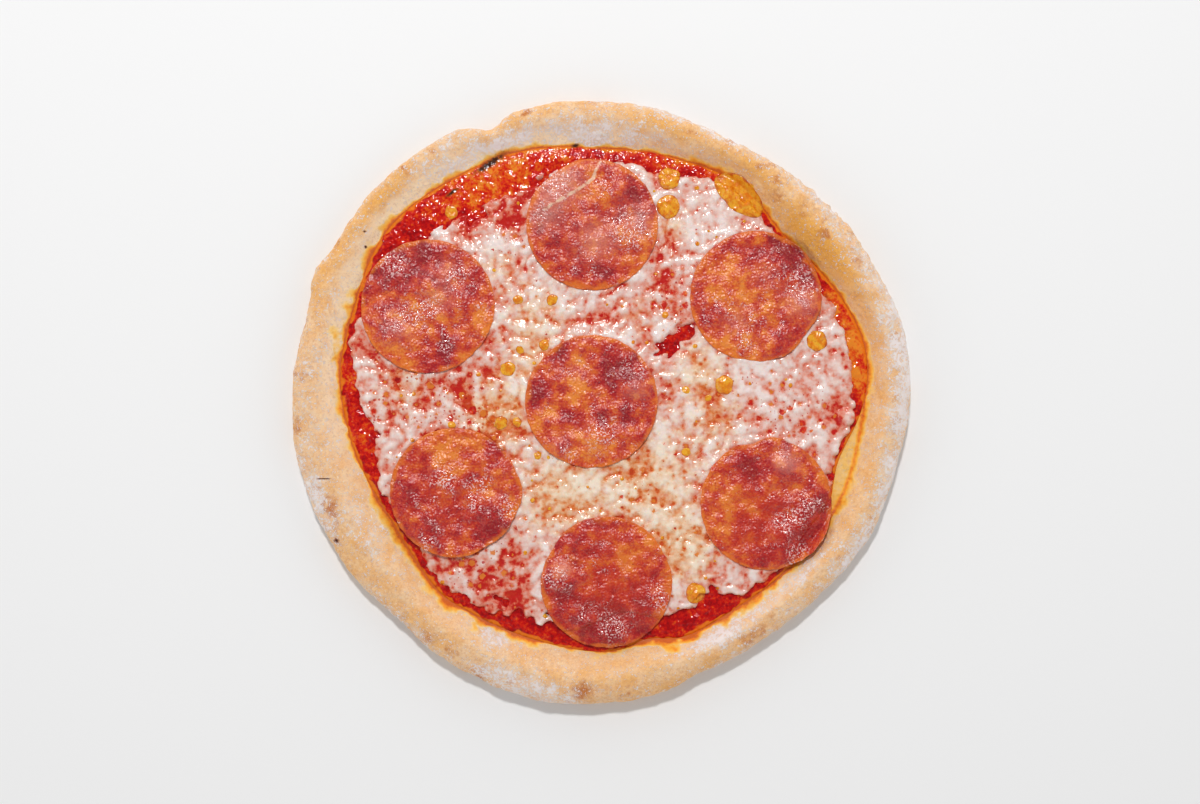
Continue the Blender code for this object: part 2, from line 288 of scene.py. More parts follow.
def noise(points, size, seed):
    """Smooth random heights, about -1 to 1, with lumps one size apart.

    Space is cut into cubes of that size. Each corner holds a random slope, and a point's height is
    the height of the eight slopes there, blended by t * t * t * (t * (6 * t - 15) + 10) along each side.
    """
    place = np.asarray(points, dtype=float) / size
    cube = np.floor(place).astype(np.int64)
    part = place - cube
    fade = part**3 * (part * (part * 6 - 15) + 10)
    height = np.zeros(place.shape[:-1])
    for corner in np.ndindex(2, 2, 2):
        key = cube + corner
        code = key[..., 0] * 73856093 ^ key[..., 1] * 19349663 ^ key[..., 2] * 83492791 ^ seed * 40503
        code = ((code ^ (code >> 13)) * 1274126177) & 0xFFFFFFFF
        code = ((code ^ (code >> 15)) * 668265263) & 0xFFFFFFFF
        turn = (code & 0xFFFF) * (2 * math.pi / 65536)
        rise = (code >> 16) / 32768 - 1
        flat = np.sqrt(1 - rise**2)
        lean = part - corner
        slope = (lean[..., 0] * np.cos(turn) + lean[..., 1] * np.sin(turn)) * flat + lean[..., 2] * rise
        height += np.prod(np.where(corner, fade, 1 - fade), axis=-1) * slope
    return height * 1.7


def layered(points, size, seed, layers=3, fall=0.5):
    """Noise upon noise: each layer has half the size of the last and `fall` times its height."""
    return sum(noise(points, size / 2**k, seed + k) * fall**k for k in range(layers))


def flat_points(x, y):
    return np.stack((x, y, np.zeros_like(x)), axis=-1)


def ease(value, low, high):
    """0 below low, 1 above high, and t * t * (3 - 2 * t) between."""
    t = np.clip((value - low) / (high - low), 0, 1)
    return t * t * (3 - 2 * t)


def bell(distance, half_width):
    return np.exp(-((distance / half_width) ** 2))


def turn_between(angle, at):
    """The angle from one direction to another, -180 to 180 degrees."""
    return (angle - at + 180) % 360 - 180


def lobed(angle, mean, lobes):
    """A reach that is the mean plus a bell for each lobe: rise * exp(-(off / half width) squared)."""
    return mean + sum(rise * bell(turn_between(angle, at), half) for at, half, rise in lobes)


def spread(x, y, places):
    """The sum of some round places: amount * exp(-(distance / radius) squared) each."""
    return sum(amount * bell(np.hypot(x - cx, y - cy), radius) for cx, cy, radius, amount in places)


def foot_reach(angle):
    return lobed(angle, FOOT_REACH, FOOT_LOBES)


def rim_reach(angle):
    return lobed(angle, RIM_REACH, RIM_LOBES)


def crown_reach(angle):
    foot = foot_reach(angle)
    return foot + (rim_reach(angle) - foot) * lobed(angle, CROWN_SHARE, CROWN_LOBES)


def slope_rise(share):
    """How far the inner slope has risen, 0 to 1: (share * share * (3 - 2 * share)) to the power 0.8."""
    return ease(share, 0.0, 1.0) ** 0.8


def crust_top(x, y):
    """Height of the base, and of the slope from its foot to the crown, under any place."""
    angle = np.degrees(np.arctan2(y, x))
    foot = foot_reach(angle)
    height = lobed(angle, RIM_HEIGHT, RIM_HEIGHT_LOBES)
    share = (np.hypot(x, y) - foot) / (crown_reach(angle) - foot)
    return BASE_TOP + (height - BASE_TOP) * slope_rise(share)


def push_out(points, heights):
    """Moves the points of a grid closed round its columns along their normals.

    A normal is the cross product of the steps down and along the grid.
    """
    down = np.gradient(points, axis=0)
    along = (np.roll(points, -1, axis=1) - np.roll(points, 1, axis=1)) / 2
    normal = np.cross(down, along)
    normal /= np.maximum(np.linalg.norm(normal, axis=-1, keepdims=True), 1e-9)
    return points + normal * heights[..., None]


def kept_inside(points):
    """Settles points inside the frame's box: past 0.8 mm from a side, the last part is eased off.

    A place that stands out by e beyond that line moves to 0.7 * (1 - exp(-e)) beyond it.
    """
    for axis in (0, 1):
        centre = (cad_low[axis] + cad_high[axis]) / 2 / MM - OUTLINE_MIDDLE[axis]
        line = (cad_high[axis] - cad_low[axis]) / 2 / MM - 0.8
        off = points[..., axis] - centre
        out = np.maximum(np.abs(off) - line, 0)
        points[..., axis] = centre + np.sign(off) * (np.minimum(np.abs(off), line) + 0.7 * (1 - np.exp(-out)))
    return points


def make_piece(name, points, faces, marks, finish, node=None):
    """Puts points in millimetres and faces into a smooth mesh in the frame, with marks as attributes."""
    placed = np.asarray(points, dtype=float) + (*OUTLINE_MIDDLE, 0.0)
    mesh = bpy.data.meshes.new(name)
    mesh.from_pydata((placed * MM).tolist(), [], [face for group in faces for face in group.tolist()])
    for mark_name, values in marks.items():
        layer = mesh.attributes.new(mark_name, "FLOAT", "POINT")
        layer.data.foreach_set("value", np.asarray(values, dtype=np.float32))
    mesh.shade_smooth()
    mesh.materials.append(finish)
    piece = bpy.data.objects.new(name, mesh)
    bpy.context.collection.objects.link(piece)
    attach(piece, "root")
    if node:
        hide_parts(node)


def ring_faces(rows, columns):
    """Four-sided faces of a grid closed round its columns, with a fan over each open end."""
    row, column = np.meshgrid(np.arange(rows - 1), np.arange(columns), indexing="ij")
    here = row * columns + column
    beside = row * columns + (column + 1) % columns
    walls = np.stack((here, here + columns, beside + columns, beside), axis=-1).reshape(-1, 4)
    ring = np.arange(columns)
    after = (ring + 1) % columns
    first, last = rows * columns, rows * columns + 1
    outer = (rows - 1) * columns
    inner_fan = np.stack((np.full(columns, first), ring, after), axis=-1)
    outer_fan = np.stack((np.full(columns, last), outer + after, outer + ring), axis=-1)
    return [walls, inner_fan, outer_fan]


def crust_grid():
    """Rows of the section carried round the pizza: points, place across the rim, and direction.

    From the foot the section rises over the inner slope to the crown, goes over and down a quarter of
    an ellipse to the belly, and under it down a quarter of a second ellipse to the flat underside.
    """
    angle = np.linspace(0, 360, CRUST_COLUMNS, endpoint=False)[None, :]
    foot = foot_reach(angle)
    edge = rim_reach(angle)
    crown = crown_reach(angle)
    height = lobed(angle, RIM_HEIGHT, RIM_HEIGHT_LOBES)
    inside = np.array([0.3, 0.6, 0.8, 0.87, 0.91, 0.935, 0.95, 0.965, 0.98, 0.99])[:, None]
    rise = np.linspace(0, 1, 30, endpoint=False)[:, None]
    over = np.radians(np.linspace(0, 90, 30, endpoint=False))[:, None]
    under = np.radians(np.linspace(0, 90, 12))[:, None]
    flat = np.array([0.8, 0.4])[:, None]
    reach_parts = (
        foot * inside,
        foot + (crown - foot) * rise,
        crown + (edge - crown) * np.sin(over),
        edge - UNDERCUT * (1 - np.cos(under)),
        (edge - UNDERCUT) * flat,
    )
    level = np.ones_like(angle)
    height_parts = (
        BASE_TOP * level * np.ones_like(inside),
        BASE_TOP + (height - BASE_TOP) * slope_rise(rise),
        BELLY_HEIGHT + (height - BELLY_HEIGHT) * np.cos(over),
        BELLY_HEIGHT * (1 - np.sin(under)) * level,
        np.zeros_like(flat) * level,
    )
    out = np.concatenate(reach_parts)
    up = np.concatenate(height_parts)
    turn = np.radians(angle)
    points = np.stack((out * np.cos(turn), out * np.sin(turn), up), axis=-1)
    across = (out - foot) / (edge - foot)
    return points, across, np.broadcast_to(angle, out.shape)


def crust_relief(points, across, angle):
    """Puffs, dimples and grain of the dough: layers of noise, strongest on the rim's outer half."""
    on_rim = ease(across, -0.02, 0.25) * ease(points[..., 2], 0.3, 3.0)
    crinkled = bell(turn_between(angle, 42), 26) * ease(across, 0.6, 0.95)
    height = 0.60 * noise(points, 17.0, 3) + 0.42 * noise(points, 8.0, 5)
    height += 0.28 * noise(points, 4.0, 7) * ease(across, 0.3, 0.9)
    height += 0.20 * noise(points, 2.2, 9) * (0.5 + ease(across, 0.5, 1.0))
    height += crinkled * (1.1 * noise(points, 4.2, 11) + 0.6 * noise(points, 2.4, 13) - 0.2)
    return height * on_rim


def dusting(places, across, angle):
    """The strongest of some places on the rim: amount times a bell each way, round the rim and across it."""
    bells = [
        amount * bell(turn_between(angle, at), half) * bell(across - middle, width)
        for at, half, middle, width, amount in places
    ]
    return np.max(bells, axis=0)


def make_tree(name):
    """A new material, its node tree and its shader."""
    material = bpy.data.materials.new(name)
    material.use_nodes = True
    tree = material.node_tree
    return material, tree, tree.nodes["Principled BSDF"]


def wire(tree, socket, value):
    """Feeds a socket from another socket, or sets it to a plain value."""
    if isinstance(value, bpy.types.NodeSocket):
        tree.links.new(value, socket)
    else:
        socket.default_value = value


def mark(tree, name):
    """Reads one of the mesh's own attributes."""
    node = tree.nodes.new("ShaderNodeAttribute")
    node.attribute_name = name
    return node.outputs["Fac"]


def math_of(tree, operation, *values):
    node = tree.nodes.new("ShaderNodeMath")
    node.operation = operation
    for socket, value in zip(node.inputs, values):
        wire(tree, socket, value)
    return node.outputs[0]


def ruffled(tree, value, *grains):
    """A value made uneven: each texture and weight adds weight * (texture - 0.5)."""
    for texture, weight in grains:
        value = math_of(tree, "MULTIPLY_ADD", texture, weight, value)
        value = math_of(tree, "SUBTRACT", value, weight / 2)
    return value


def between(tree, value, low, high, to_low=0.0, to_high=1.0):
    """Eases a value from one range to another."""
    node = tree.nodes.new("ShaderNodeMapRange")
    node.interpolation_type = "SMOOTHSTEP"
    wire(tree, node.inputs["Value"], value)
    node.inputs["From Min"].default_value = low
    node.inputs["From Max"].default_value = high
    node.inputs["To Min"].default_value = to_low
    node.inputs["To Max"].default_value = to_high
    return node.outputs["Result"]


def blended(tree, amount, first, second):
    """Colour from first to second by amount. A plain colour is given as on a screen, 0 to 255."""
    node = tree.nodes.new("ShaderNodeMix")
    node.data_type = "RGBA"
    wire(tree, node.inputs["Factor"], amount)
    for side, colour in (("A", first), ("B", second)):
        wire(tree, node.inputs[side], from_screen(*colour) if isinstance(colour, tuple) else colour)
    return node.outputs["Result"]


def painted(tree, colour, value, start, end, most, paint):
    """The colour under a paint that grows from nothing to `most` as a value goes from start to end."""
    return blended(tree, between(tree, value, start, end, 0.0, most), colour, paint)


def ramp(tree, value, *stops):
    """Colour along a row of stops, each a place from 0 to 1 and a screen colour."""
    node = tree.nodes.new("ShaderNodeValToRGB")
    wire(tree, node.inputs["Fac"], value)
    points = node.color_ramp.elements
    while len(points) < len(stops):
        points.new(0.5)
    for point, (place, *colour) in zip(points, stops):
        point.position = place
        point.color = from_screen(*colour)
    return node.outputs["Color"]


def textured(tree, kind):
    """A new texture or mapping node that reads the place in object space."""
    place = tree.nodes.new("ShaderNodeTexCoord")
    node = tree.nodes.new(kind)
    tree.links.new(place.outputs["Object"], node.inputs["Vector"])
    return node


def grain(tree, size, detail=2.0, roughness=0.5):
    """Noise in object space with lumps of a size in millimetres, 0 to 1."""
    node = textured(tree, "ShaderNodeTexNoise")
    node.inputs["Scale"].default_value = 1 / (size * MM)
    node.inputs["Detail"].default_value = detail
    node.inputs["Roughness"].default_value = roughness
    return node.outputs["Fac"]


def bumped(tree, height, depth):
    """A normal tilted by a height, 0 to 1, that stands for a depth in millimetres."""
    node = tree.nodes.new("ShaderNodeBump")
    node.inputs["Strength"].default_value = 1.0
    node.inputs["Distance"].default_value = depth * MM
    wire(tree, node.inputs["Height"], height)
    return node.outputs["Normal"]


def oval_distance(tree, middle_x, middle_y, half_length, half_width, turn):
    """Distance from the middle of a turned oval, seen from above: 1 on its outline."""
    node = textured(tree, "ShaderNodeMapping")
    node.vector_type = "TEXTURE"
    shifted = (middle_x + OUTLINE_MIDDLE[0], middle_y + OUTLINE_MIDDLE[1])
    node.inputs["Location"].default_value = (shifted[0] * MM, shifted[1] * MM, 0.0)
    node.inputs["Rotation"].default_value = (0.0, 0.0, math.radians(turn))
    node.inputs["Scale"].default_value = (half_length * MM, half_width * MM, 10.0)
    length = tree.nodes.new("ShaderNodeVectorMath")
    length.operation = "LENGTH"
    tree.links.new(node.outputs["Vector"], length.inputs[0])
    return length.outputs["Value"]


def spotted(tree, cell, smallest, largest, density, ragged):
    """Ragged round spots strewn one to a cell, seen from above, all sizes in millimetres.

    Gives how far inside a spot a place is, below 0 outside, and a chance value for each spot.
    """
    node = textured(tree, "ShaderNodeTexVoronoi")
    node.voronoi_dimensions = "2D"
    node.inputs["Scale"].default_value = 1 / (cell * MM)
    chance = tree.nodes.new("ShaderNodeSeparateColor")
    tree.links.new(node.outputs["Color"], chance.inputs["Color"])
    radius = math_of(tree, "POWER", chance.outputs["Red"], 2.0)
    radius = math_of(tree, "MULTIPLY_ADD", radius, largest - smallest, smallest + 0.3)
    radius = math_of(tree, "MULTIPLY_ADD", radius, density, -0.3)
    inside = math_of(tree, "MULTIPLY_ADD", node.outputs["Distance"], -cell, radius)
    return ruffled(tree, inside, (grain(tree, 0.9, 2.0), ragged)), chance.outputs["Green"]


def burnt_and_slit(tree, colour):
    """The colour with the burnt specks and the painted shade of the slit on it: nearly black, with a ragged
    brown edge.
    """
    nearest = oval_distance(tree, *BURNT_AND_SLIT[0])
    for oval in BURNT_AND_SLIT[1:]:
        nearest = math_of(tree, "MINIMUM", nearest, oval_distance(tree, *oval))
    ragged = ruffled(tree, nearest, (grain(tree, 1.6, 3.0, 0.6), 2.0))
    colour = painted(tree, colour, ragged, 1.7, 0.8, 0.75, (150, 74, 24))
    return painted(tree, colour, ragged, 1.05, 0.5, 0.95, (52, 24, 16))


def set_shader(tree, shader, colour, roughness, specular, glow, height, depth):
    """Colour, roughness, strength of the shine, and a bump of a depth in millimetres.

    The glow is the light that goes through under the surface: its weight, how far red, green and blue
    go beside each other, and how far in millimetres.
    """
    wire(tree, shader.inputs["Base Color"], colour)
    wire(tree, shader.inputs["Roughness"], roughness)
    wire(tree, shader.inputs["Normal"], bumped(tree, height, depth))
    shader.inputs["Specular IOR Level"].default_value = specular
    weight, channels, reach = glow
    shader.inputs["Subsurface Weight"].default_value = weight
    shader.inputs["Subsurface Radius"].default_value = channels
    shader.inputs["Subsurface Scale"].default_value = reach * MM


def crust_finish():
    """Matt baked dough: cream to gold by noise, brown in spots, white where flour lies, orange with oil, pale
    on the inner slope, partly painted light where that slope faces away from the lamp.
    """
    material, tree, shader = make_tree("baked_dough")
    cream = (240, 203, 162)
    peach = (236, 184, 130)
    gold = (236, 168, 66)
    tan = (216, 150, 96)
    brown = (192, 112, 50)
    pale_and_lit = (252, 226, 192)
    white = (238, 228, 226)
    colour = blended(tree, between(tree, grain(tree, 7.0, 4.0, 0.6), 0.36, 0.66), cream, peach)
    golden = ruffled(tree, mark(tree, "golden"), (grain(tree, 7.0, 4.0, 0.6), 0.8))
    colour = blended(tree, between(tree, golden, 0.0, 1.2), colour, gold)
    freckles = between(tree, grain(tree, 1.7, 4.0, 0.75), 0.46, 0.66)
    colour = blended(tree, math_of(tree, "MULTIPLY", freckles, mark(tree, "outer")), colour, tan)
    # Paler dough on the inner slope. Along the far side of the rim this is painted light that lifts the
    # slope's shade.
    pale_dough_and_light = ruffled(tree, mark(tree, "pale_and_lit"), (grain(tree, 4.0, 3.0), 0.6))
    colour = painted(tree, colour, pale_dough_and_light, 0.0, 0.9, 0.85, pale_and_lit)
    scorch = ruffled(tree, mark(tree, "brown"), (grain(tree, 2.4, 3.0, 0.6), 1.3))
    colour = blended(tree, between(tree, scorch, 0.25, 1.1), colour, brown)
    grit = grain(tree, 1.0, 2.0, 0.6)
    colour = painted(tree, colour, grit, 0.50, 0.66, 0.40, (208, 146, 96))
    colour = painted(tree, colour, grit, 0.48, 0.34, 0.30, (252, 214, 160))
    veil = ruffled(tree, mark(tree, "flour"), (grain(tree, 5.0, 3.0), 0.8))
    colour = painted(tree, colour, veil, 0.0, 1.0, 0.42, white)
    dust = ruffled(tree, mark(tree, "flour"), (grain(tree, 1.0, 2.0, 0.7), 4.2), (grain(tree, 3.0, 3.0), 2.0))
    dusted = between(tree, dust, 0.42, 0.72, 0.0, 0.88)
    colour = blended(tree, dusted, colour, white)
    crumbs, _ = spotted(tree, 2.6, 0.05, 0.42, 1.0, 0.5)
    colour = painted(tree, colour, crumbs, 0.0, 0.25, 0.6, (250, 238, 224))
    oil = ruffled(tree, mark(tree, "oil"), (grain(tree, 2.6, 3.0, 0.6), 0.7))
    soaked = ramp(
        tree,
        oil,
        (0.05, 250, 222, 156),
        (0.35, 255, 206, 100),
        (0.65, 255, 178, 50),
        (0.88, 240, 128, 20),
        (0.99, 214, 96, 16),
    )
    colour = painted(tree, colour, oil, -0.15, 0.60, 0.95, soaked)
    colour = burnt_and_slit(tree, colour)
    roughness = between(tree, oil, 0.1, 0.8, 0.75, 0.35)
    fine = ruffled(tree, dusted, (grit, -2.0), (grain(tree, 2.0, 1.0), 2.0))
    set_shader(tree, shader, colour, roughness, 0.3, (0.10, (1.0, 0.6, 0.3), 1.5), fine, 0.22)
    return material


crust_points, crust_across, crust_angle = crust_grid()
crust_points = push_out(crust_points, crust_relief(crust_points, crust_across, crust_angle))
crust_points = kept_inside(crust_points)
crust_points[..., 2] = np.maximum(crust_points[..., 2], 0.0)
crust_rows = crust_points.shape[0]
crust_x, crust_y = crust_points[..., 0], crust_points[..., 1]
flour = dusting(FLOURED, crust_across, crust_angle)
flour = flour * (0.9 + 0.6 * layered(crust_points, 9.0, 21)) - 0.10
golden = dusting(GOLDEN, crust_across, crust_angle)
browning = spread(crust_x, crust_y, BROWNED)
browning = browning + 0.7 * ease(layered(crust_points, 11.0, 23), 0.2, 0.8) * ease(crust_across, 0.3, 0.7)
# Pale dough, and painted light on the far inner slope, which faces away from the lamp.
pale_dough_and_light = sum(much * bell(turn_between(crust_angle, at), half) for at, half, much in PALE_DOUGH_AND_LIGHT)
pale_dough_and_light = pale_dough_and_light * bell(crust_across - 0.20, 0.24) * (1 + 0.6 * noise(crust_points, 6.0, 25))
oil_reach = lobed(crust_angle, OIL_REACH, OIL_LOBES) * (1 + 1.1 * layered(crust_points, 9.0, 27))
past_foot = np.hypot(crust_x, crust_y) - foot_reach(crust_angle)
oil = np.clip(1.25 - (past_foot - 0.6) / np.maximum(oil_reach, 0.5), -0.2, 1.2)
# Along the bare strip of base the oil is thinner on the slope, and lies evenly on the base.
near_strip = np.maximum(bell(turn_between(crust_angle, -14), 16), bell(turn_between(crust_angle, -34), 9))
strip = near_strip * ease(-past_foot, 0.2, 0.9)
oil = oil * (1 - 0.35 * near_strip)
crust_marks = {
    "flour": flour,
    "brown": browning,
    "pale_and_lit": np.clip(pale_dough_and_light, 0, 1),
    "oil": oil * (1 - strip) + 0.30 * strip,
    "outer": 0.10 + 0.50 * ease(crust_across, 0.25, 0.7),
    "golden": golden,
}
poles = np.array([(0.0, 0.0, BASE_TOP), (0.0, 0.0, 0.0)])
make_piece(
    "crust_baked",
    np.concatenate((crust_points.reshape(-1, 3), poles)),
    ring_faces(crust_rows, CRUST_COLUMNS),
    {name: np.append(values.ravel(), (0.0, 0.0)) for name, values in crust_marks.items()},
    crust_finish(),
    "crust",
)


# The tomato sauce. Cooked crushed tomato spread over the base by the back of a spoon, glossy with oil
# that has run out to its edge. It is one sheet on a square grid bent to a disc, with lumps of pulp.
SAUCE_TOP = 6.0
SAUCE_INSIDE_FOOT = 0.8
SAUCE_UP_SLOPE = 1.5
# On the right the sauce stops short of the slope and leaves a strip of oily base bare.
BARE_STRIP_LOBES = ((345, 10, -6.5), (326, 8, -3.0))
SAUCE_GRID = 290
SAUCE_BOTTOM = 4.3
# Where the sauce is orange with oil: middle, radius, amount.
OILY_SAUCE = (
    (-62, 106, 13, 1.1),
    (-42, 114, 11, 1.1),
    (-22, 120, 9, 0.8),
    (-80, 96, 8, 0.5),
    (-119, -18, 8, 0.6),
    (-121, 12, 6, 0.6),
    (-112, 60, 6, 0.5),
    (112, 46, 8, 1.5),
    (121, 30, 9, 1.8),
    (126, 12, 8, 1.6),
    (33, 118, 7, 0.6),
    (51, 112, 7, 0.7),
    (66, 104, 8, 0.6),
    (18, 122, 10, 0.4),
)


def disc_grid(steps):
    """A square grid bent to a disc of reach 1: each square ring becomes a circle, evenly divided."""
    line = np.linspace(-1, 1, steps + 1)
    u, v = np.meshgrid(line, line, indexing="ij")
    share = np.maximum(np.abs(u), np.abs(v))
    safe_u = np.where(u == 0, 1e-9, u)
    safe_v = np.where(v == 0, 1e-9, v)
    sideways = np.abs(u) >= np.abs(v)
    from_u = np.pi / 4 * v / safe_u + np.where(u < 0, np.pi, 0)
    from_v = np.pi / 2 - np.pi / 4 * u / safe_v + np.where(v < 0, np.pi, 0)
    turn = np.where(sideways, from_u, from_v)
    return share, np.degrees(turn) % 360


def disc_places(share, angle, reach, middle=(0.0, 0.0)):
    """Where the points of such a grid lie, for a reach in each direction from a middle."""
    turn = np.radians(angle)
    return middle[0] + share * reach * np.cos(turn), middle[1] + share * reach * np.sin(turn)


def border_of(steps):
    """The grid's outermost points, anticlockwise from above."""
    index = np.arange((steps + 1) ** 2).reshape(steps + 1, steps + 1)
    return np.concatenate((index[:-1, 0], index[-1, :-1], index[:0:-1, -1], index[0, :0:-1]))


def square_faces(steps):
    index = np.arange((steps + 1) ** 2).reshape(steps + 1, steps + 1)
    corners = (index[:-1, :-1], index[1:, :-1], index[1:, 1:], index[:-1, 1:])
    return np.stack(corners, axis=-1).reshape(-1, 4)


def flat_bottomed(top, steps, bottom):
    """Closes a sheet with a wall round its border and a flat underside, fanned from its middle."""
    border = border_of(steps)
    low = top.reshape(-1, 3)[border].copy()
    low[:, 2] = bottom
    middle = np.array([[0.0, 0.0, bottom]])
    points = np.concatenate((top.reshape(-1, 3), low, middle))
    first = top.shape[0] * top.shape[1]
    ring = first + np.arange(len(border))
    after = np.roll(ring, -1)
    centre = np.full(len(border), first + len(border))
    wall = np.stack((border, ring, after, np.roll(border, -1)), axis=-1)
    fan = np.stack((after, ring, centre), axis=-1)
    return points, [square_faces(steps), wall, fan]


def with_bottom(values, steps):
    """A mark's values for the sheet's top, then for its border's lower edge and middle point."""
    values = values.ravel()
    return np.concatenate((values, values[border_of(steps)], values[:1]))


def make_sheet(name, top, steps, bottom, marks, finish, node):
    """A flat-bottomed piece from its top sheet, with that sheet's marks."""
    points, faces = flat_bottomed(top, steps, bottom)
    marks = {mark_name: with_bottom(values, steps) for mark_name, values in marks.items()}
    make_piece(name, points, faces, marks, finish, node)


def sauce_reach(angle):
    return lobed(angle, foot_reach(angle) - SAUCE_INSIDE_FOOT, BARE_STRIP_LOBES)


def sauce_edge(angle):
    """Where the sauce ends to the eye: a little way up the slope, but on the level along the bare strip."""
    return sauce_reach(angle) + SAUCE_UP_SLOPE + 0.2 * lobed(angle, 0.0, BARE_STRIP_LOBES)


def sauce_top(x, y):
    """Height of the sauce: lumps of pulp on an even layer that thins over its last few millimetres."""
    angle = np.degrees(np.arctan2(y, x))
    inside = sauce_edge(angle) - np.hypot(x, y)
    place = flat_points(x, y)
    pulp = 0.45 * noise(place, 6.0, 41) + 0.40 * noise(place, 3.0, 43) + 0.20 * noise(place, 1.7, 45)
    return SAUCE_TOP - 0.2 + pulp * ease(inside, 0.5, 5.0) - 0.9 * (1 - ease(inside, 0.0, 5.0))


def wet_tomato(tree, oiliness, edge_oil):
    """Colour of cooked tomato sauce: crimson to orange-red by noise, more orange where oil stands."""
    tone = ruffled(tree, 0.34, (grain(tree, 5.0, 5.0, 0.7), 2.0), (grain(tree, 1.4, 2.0), 0.9))
    tone = math_of(tree, "MULTIPLY_ADD", oiliness, 0.42, tone)
    colour = ramp(
        tree,
        tone,
        (0.00, 146, 0, 10),
        (0.28, 186, 0, 8),
        (0.50, 212, 30, 12),
        (0.72, 226, 84, 16),
        (1.00, 238, 140, 40),
    )
    return painted(tree, colour, edge_oil, 0.35, 0.8, 0.9, (238, 130, 26))


sauce_share, sauce_angle = disc_grid(SAUCE_GRID)
sauce_x, sauce_y = disc_places(sauce_share, sauce_angle, sauce_edge(sauce_angle))
sauce_inside = sauce_edge(sauce_angle) - sauce_share * sauce_edge(sauce_angle)
oil_band = 1.4 + 2.0 * layered(flat_points(sauce_x, sauce_y), 7.0, 47)
sauce_marks = {
    "oil": ease(oil_band - sauce_inside, -1.0, 1.6),
    "warm": np.clip(spread(sauce_x, sauce_y, OILY_SAUCE), 0, 1.5),
}

sauce_material, tree, shader = make_tree("tomato_sauce")
sauce_colour = burnt_and_slit(tree, wet_tomato(tree, mark(tree, "warm"), mark(tree, "oil")))
sauce_roughness = between(tree, grain(tree, 3.0, 2.0), 0.3, 0.7, 0.08, 0.16)
sauce_glow = (0.10, (1.0, 0.10, 0.05), 1.2)
set_shader(tree, shader, sauce_colour, sauce_roughness, 0.4, sauce_glow, grain(tree, 1.7, 0.0), 0.50)

sauce_sheet = np.stack((sauce_x, sauce_y, sauce_top(sauce_x, sauce_y)), axis=-1)
make_sheet(
    "sauce_spread",
    sauce_sheet,
    SAUCE_GRID,
    SAUCE_BOTTOM,
    sauce_marks,
    sauce_material,
    "tomato_sauce",
)


# The cheese. Shredded cheese melted into one soft sheet with holes and thin places where the sauce
# shows through red and pink. The sheet dips under the sauce's surface where there is no cheese.
CHEESE_REACH = 118.0
CHEESE_LOBES = (
    (8, 22, 4.5),
    (57, 12, 3),
    (75, 8, -4),
    (93, 14, -1),
    (107, 8, -4),
    (122, 12, -8),
    (150, 9, -9),
    (163, 10, 8.5),
    (190, 10, -7),
    (216, 8, -6),
    (230, 6, 4),
    (250, 10, -7),
    (276, 14, -18),
    (299, 6, -12),
    (311, 6, 1),
    (328, 8, -3),
)
CHEESE_INSIDE_SAUCE = 2.5
CHEESE_GRID = 298
CHEESE_UNDERSIDE = 6.3
CHEESE_THICKNESS = 1.9
CHEESE_BOTTOM = 4.6
# How far in from its border the cheese is rounded off, and how much it swells close round a slice.
CHEESE_ROUNDING = 2.2
CHEESE_SWELL = 0.6
# Cheese lies thinner (below 0) or thicker (above 0) here: middle, radius, amount.
CHEESE_DEPTHS = (
    (-84, 10, 26, -0.16),
    (-56, 2, 18, -0.10),
    (98, -4, 22, 0.05),
    (-35, 103, 10, -0.45),
    (-52, 95, 11, -0.42),
    (-66, 88, 8, -0.20),
    (-62, 86, 8, -0.30),
    (62, 110, 8, -0.30),
    (-60, -80, 18, -0.16),
    (-46, -96, 18, -0.32),
    (30, 62, 13, -0.35),
    (-42, 86, 6, -0.60),
    (-16, 40, 10, -0.22),
    (-50, -20, 10, -0.20),
    (18, -34, 9, -0.15),
    (52, -20, 10, -0.15),
    (52, 90, 16, 0.32),
    (-52, 78, 10, 0.25),
    (-26, 50, 14, 0.22),
    (34, -30, 22, 0.08),
    (-16, -42, 20, 0.06),
    (58, -66, 16, 0.10),
    (70, 14, 12, 0.20),
)
# Where the cheese has a creamy yellow tint: middle, radius, amount.
CREAMY = (
    (22, -38, 30, 0.70),
    (-32, 42, 18, 0.50),
    (-22, -46, 20, 0.75),
    (48, 16, 14, 0.6),
    (34, 86, 8, 0.5),
    (-50, -6, 18, 0.75),
    (-34, 20, 12, 0.45),
    (56, -8, 14, 0.45),
    (-50, 68, 10, 0.4),
    (-96, 6, 12, 0.4),
    (18, 42, 10, 0.3),
    (40, -72, 16, 0.85),
)
# Where red flecks of sauce are strewn over the cheese: middle, radius, amount.
FLECKED = (
    (-88, 8, 30, 1),
    (-60, -12, 18, 0.8),
    (-112, -6, 10, 0.8),
    (96, -8, 26, 1),
    (64, 12, 14, 0.6),
    (-58, -84, 24, 1.1),
    (-38, -52, 10, 0.6),
    (32, 58, 16, 1.1),
    (38, 40, 10, 0.8),
    (-30, 30, 18, 0.5),
    (18, -42, 18, 0.8),
    (46, -70, 18, 0.7),
    (40, -18, 12, 0.6),
    (-44, 76, 14, 0.9),
    (-20, 52, 10, 0.4),
    (36, 84, 8, 0.4),
)
# Where the border breaks up into scraps: middle, radius, amount.
SCRAPPED = (
    (-66, 92, 18, 1),
    (-38, 100, 14, 0.9),
    (-52, -98, 16, 1),
    (-30, -104, 14, 0.7),
    (52, -96, 12, 0.4),
)
BARE_PATCH_PLACE = (35.9, 30.2)
BARE_PATCH_HALF_SIZE = (12.0, 4.0)
BARE_PATCH_TURN = 36.0
BUBBLE_PLACE = (119.6, -7.3)
BUBBLE_RADIUS = 4.6
BUBBLE_HEIGHT = 1.6


def cheese_reach(angle):
    widest = sauce_reach(angle) - CHEESE_INSIDE_SAUCE
    return np.minimum(lobed(angle, CHEESE_REACH, CHEESE_LOBES), widest)


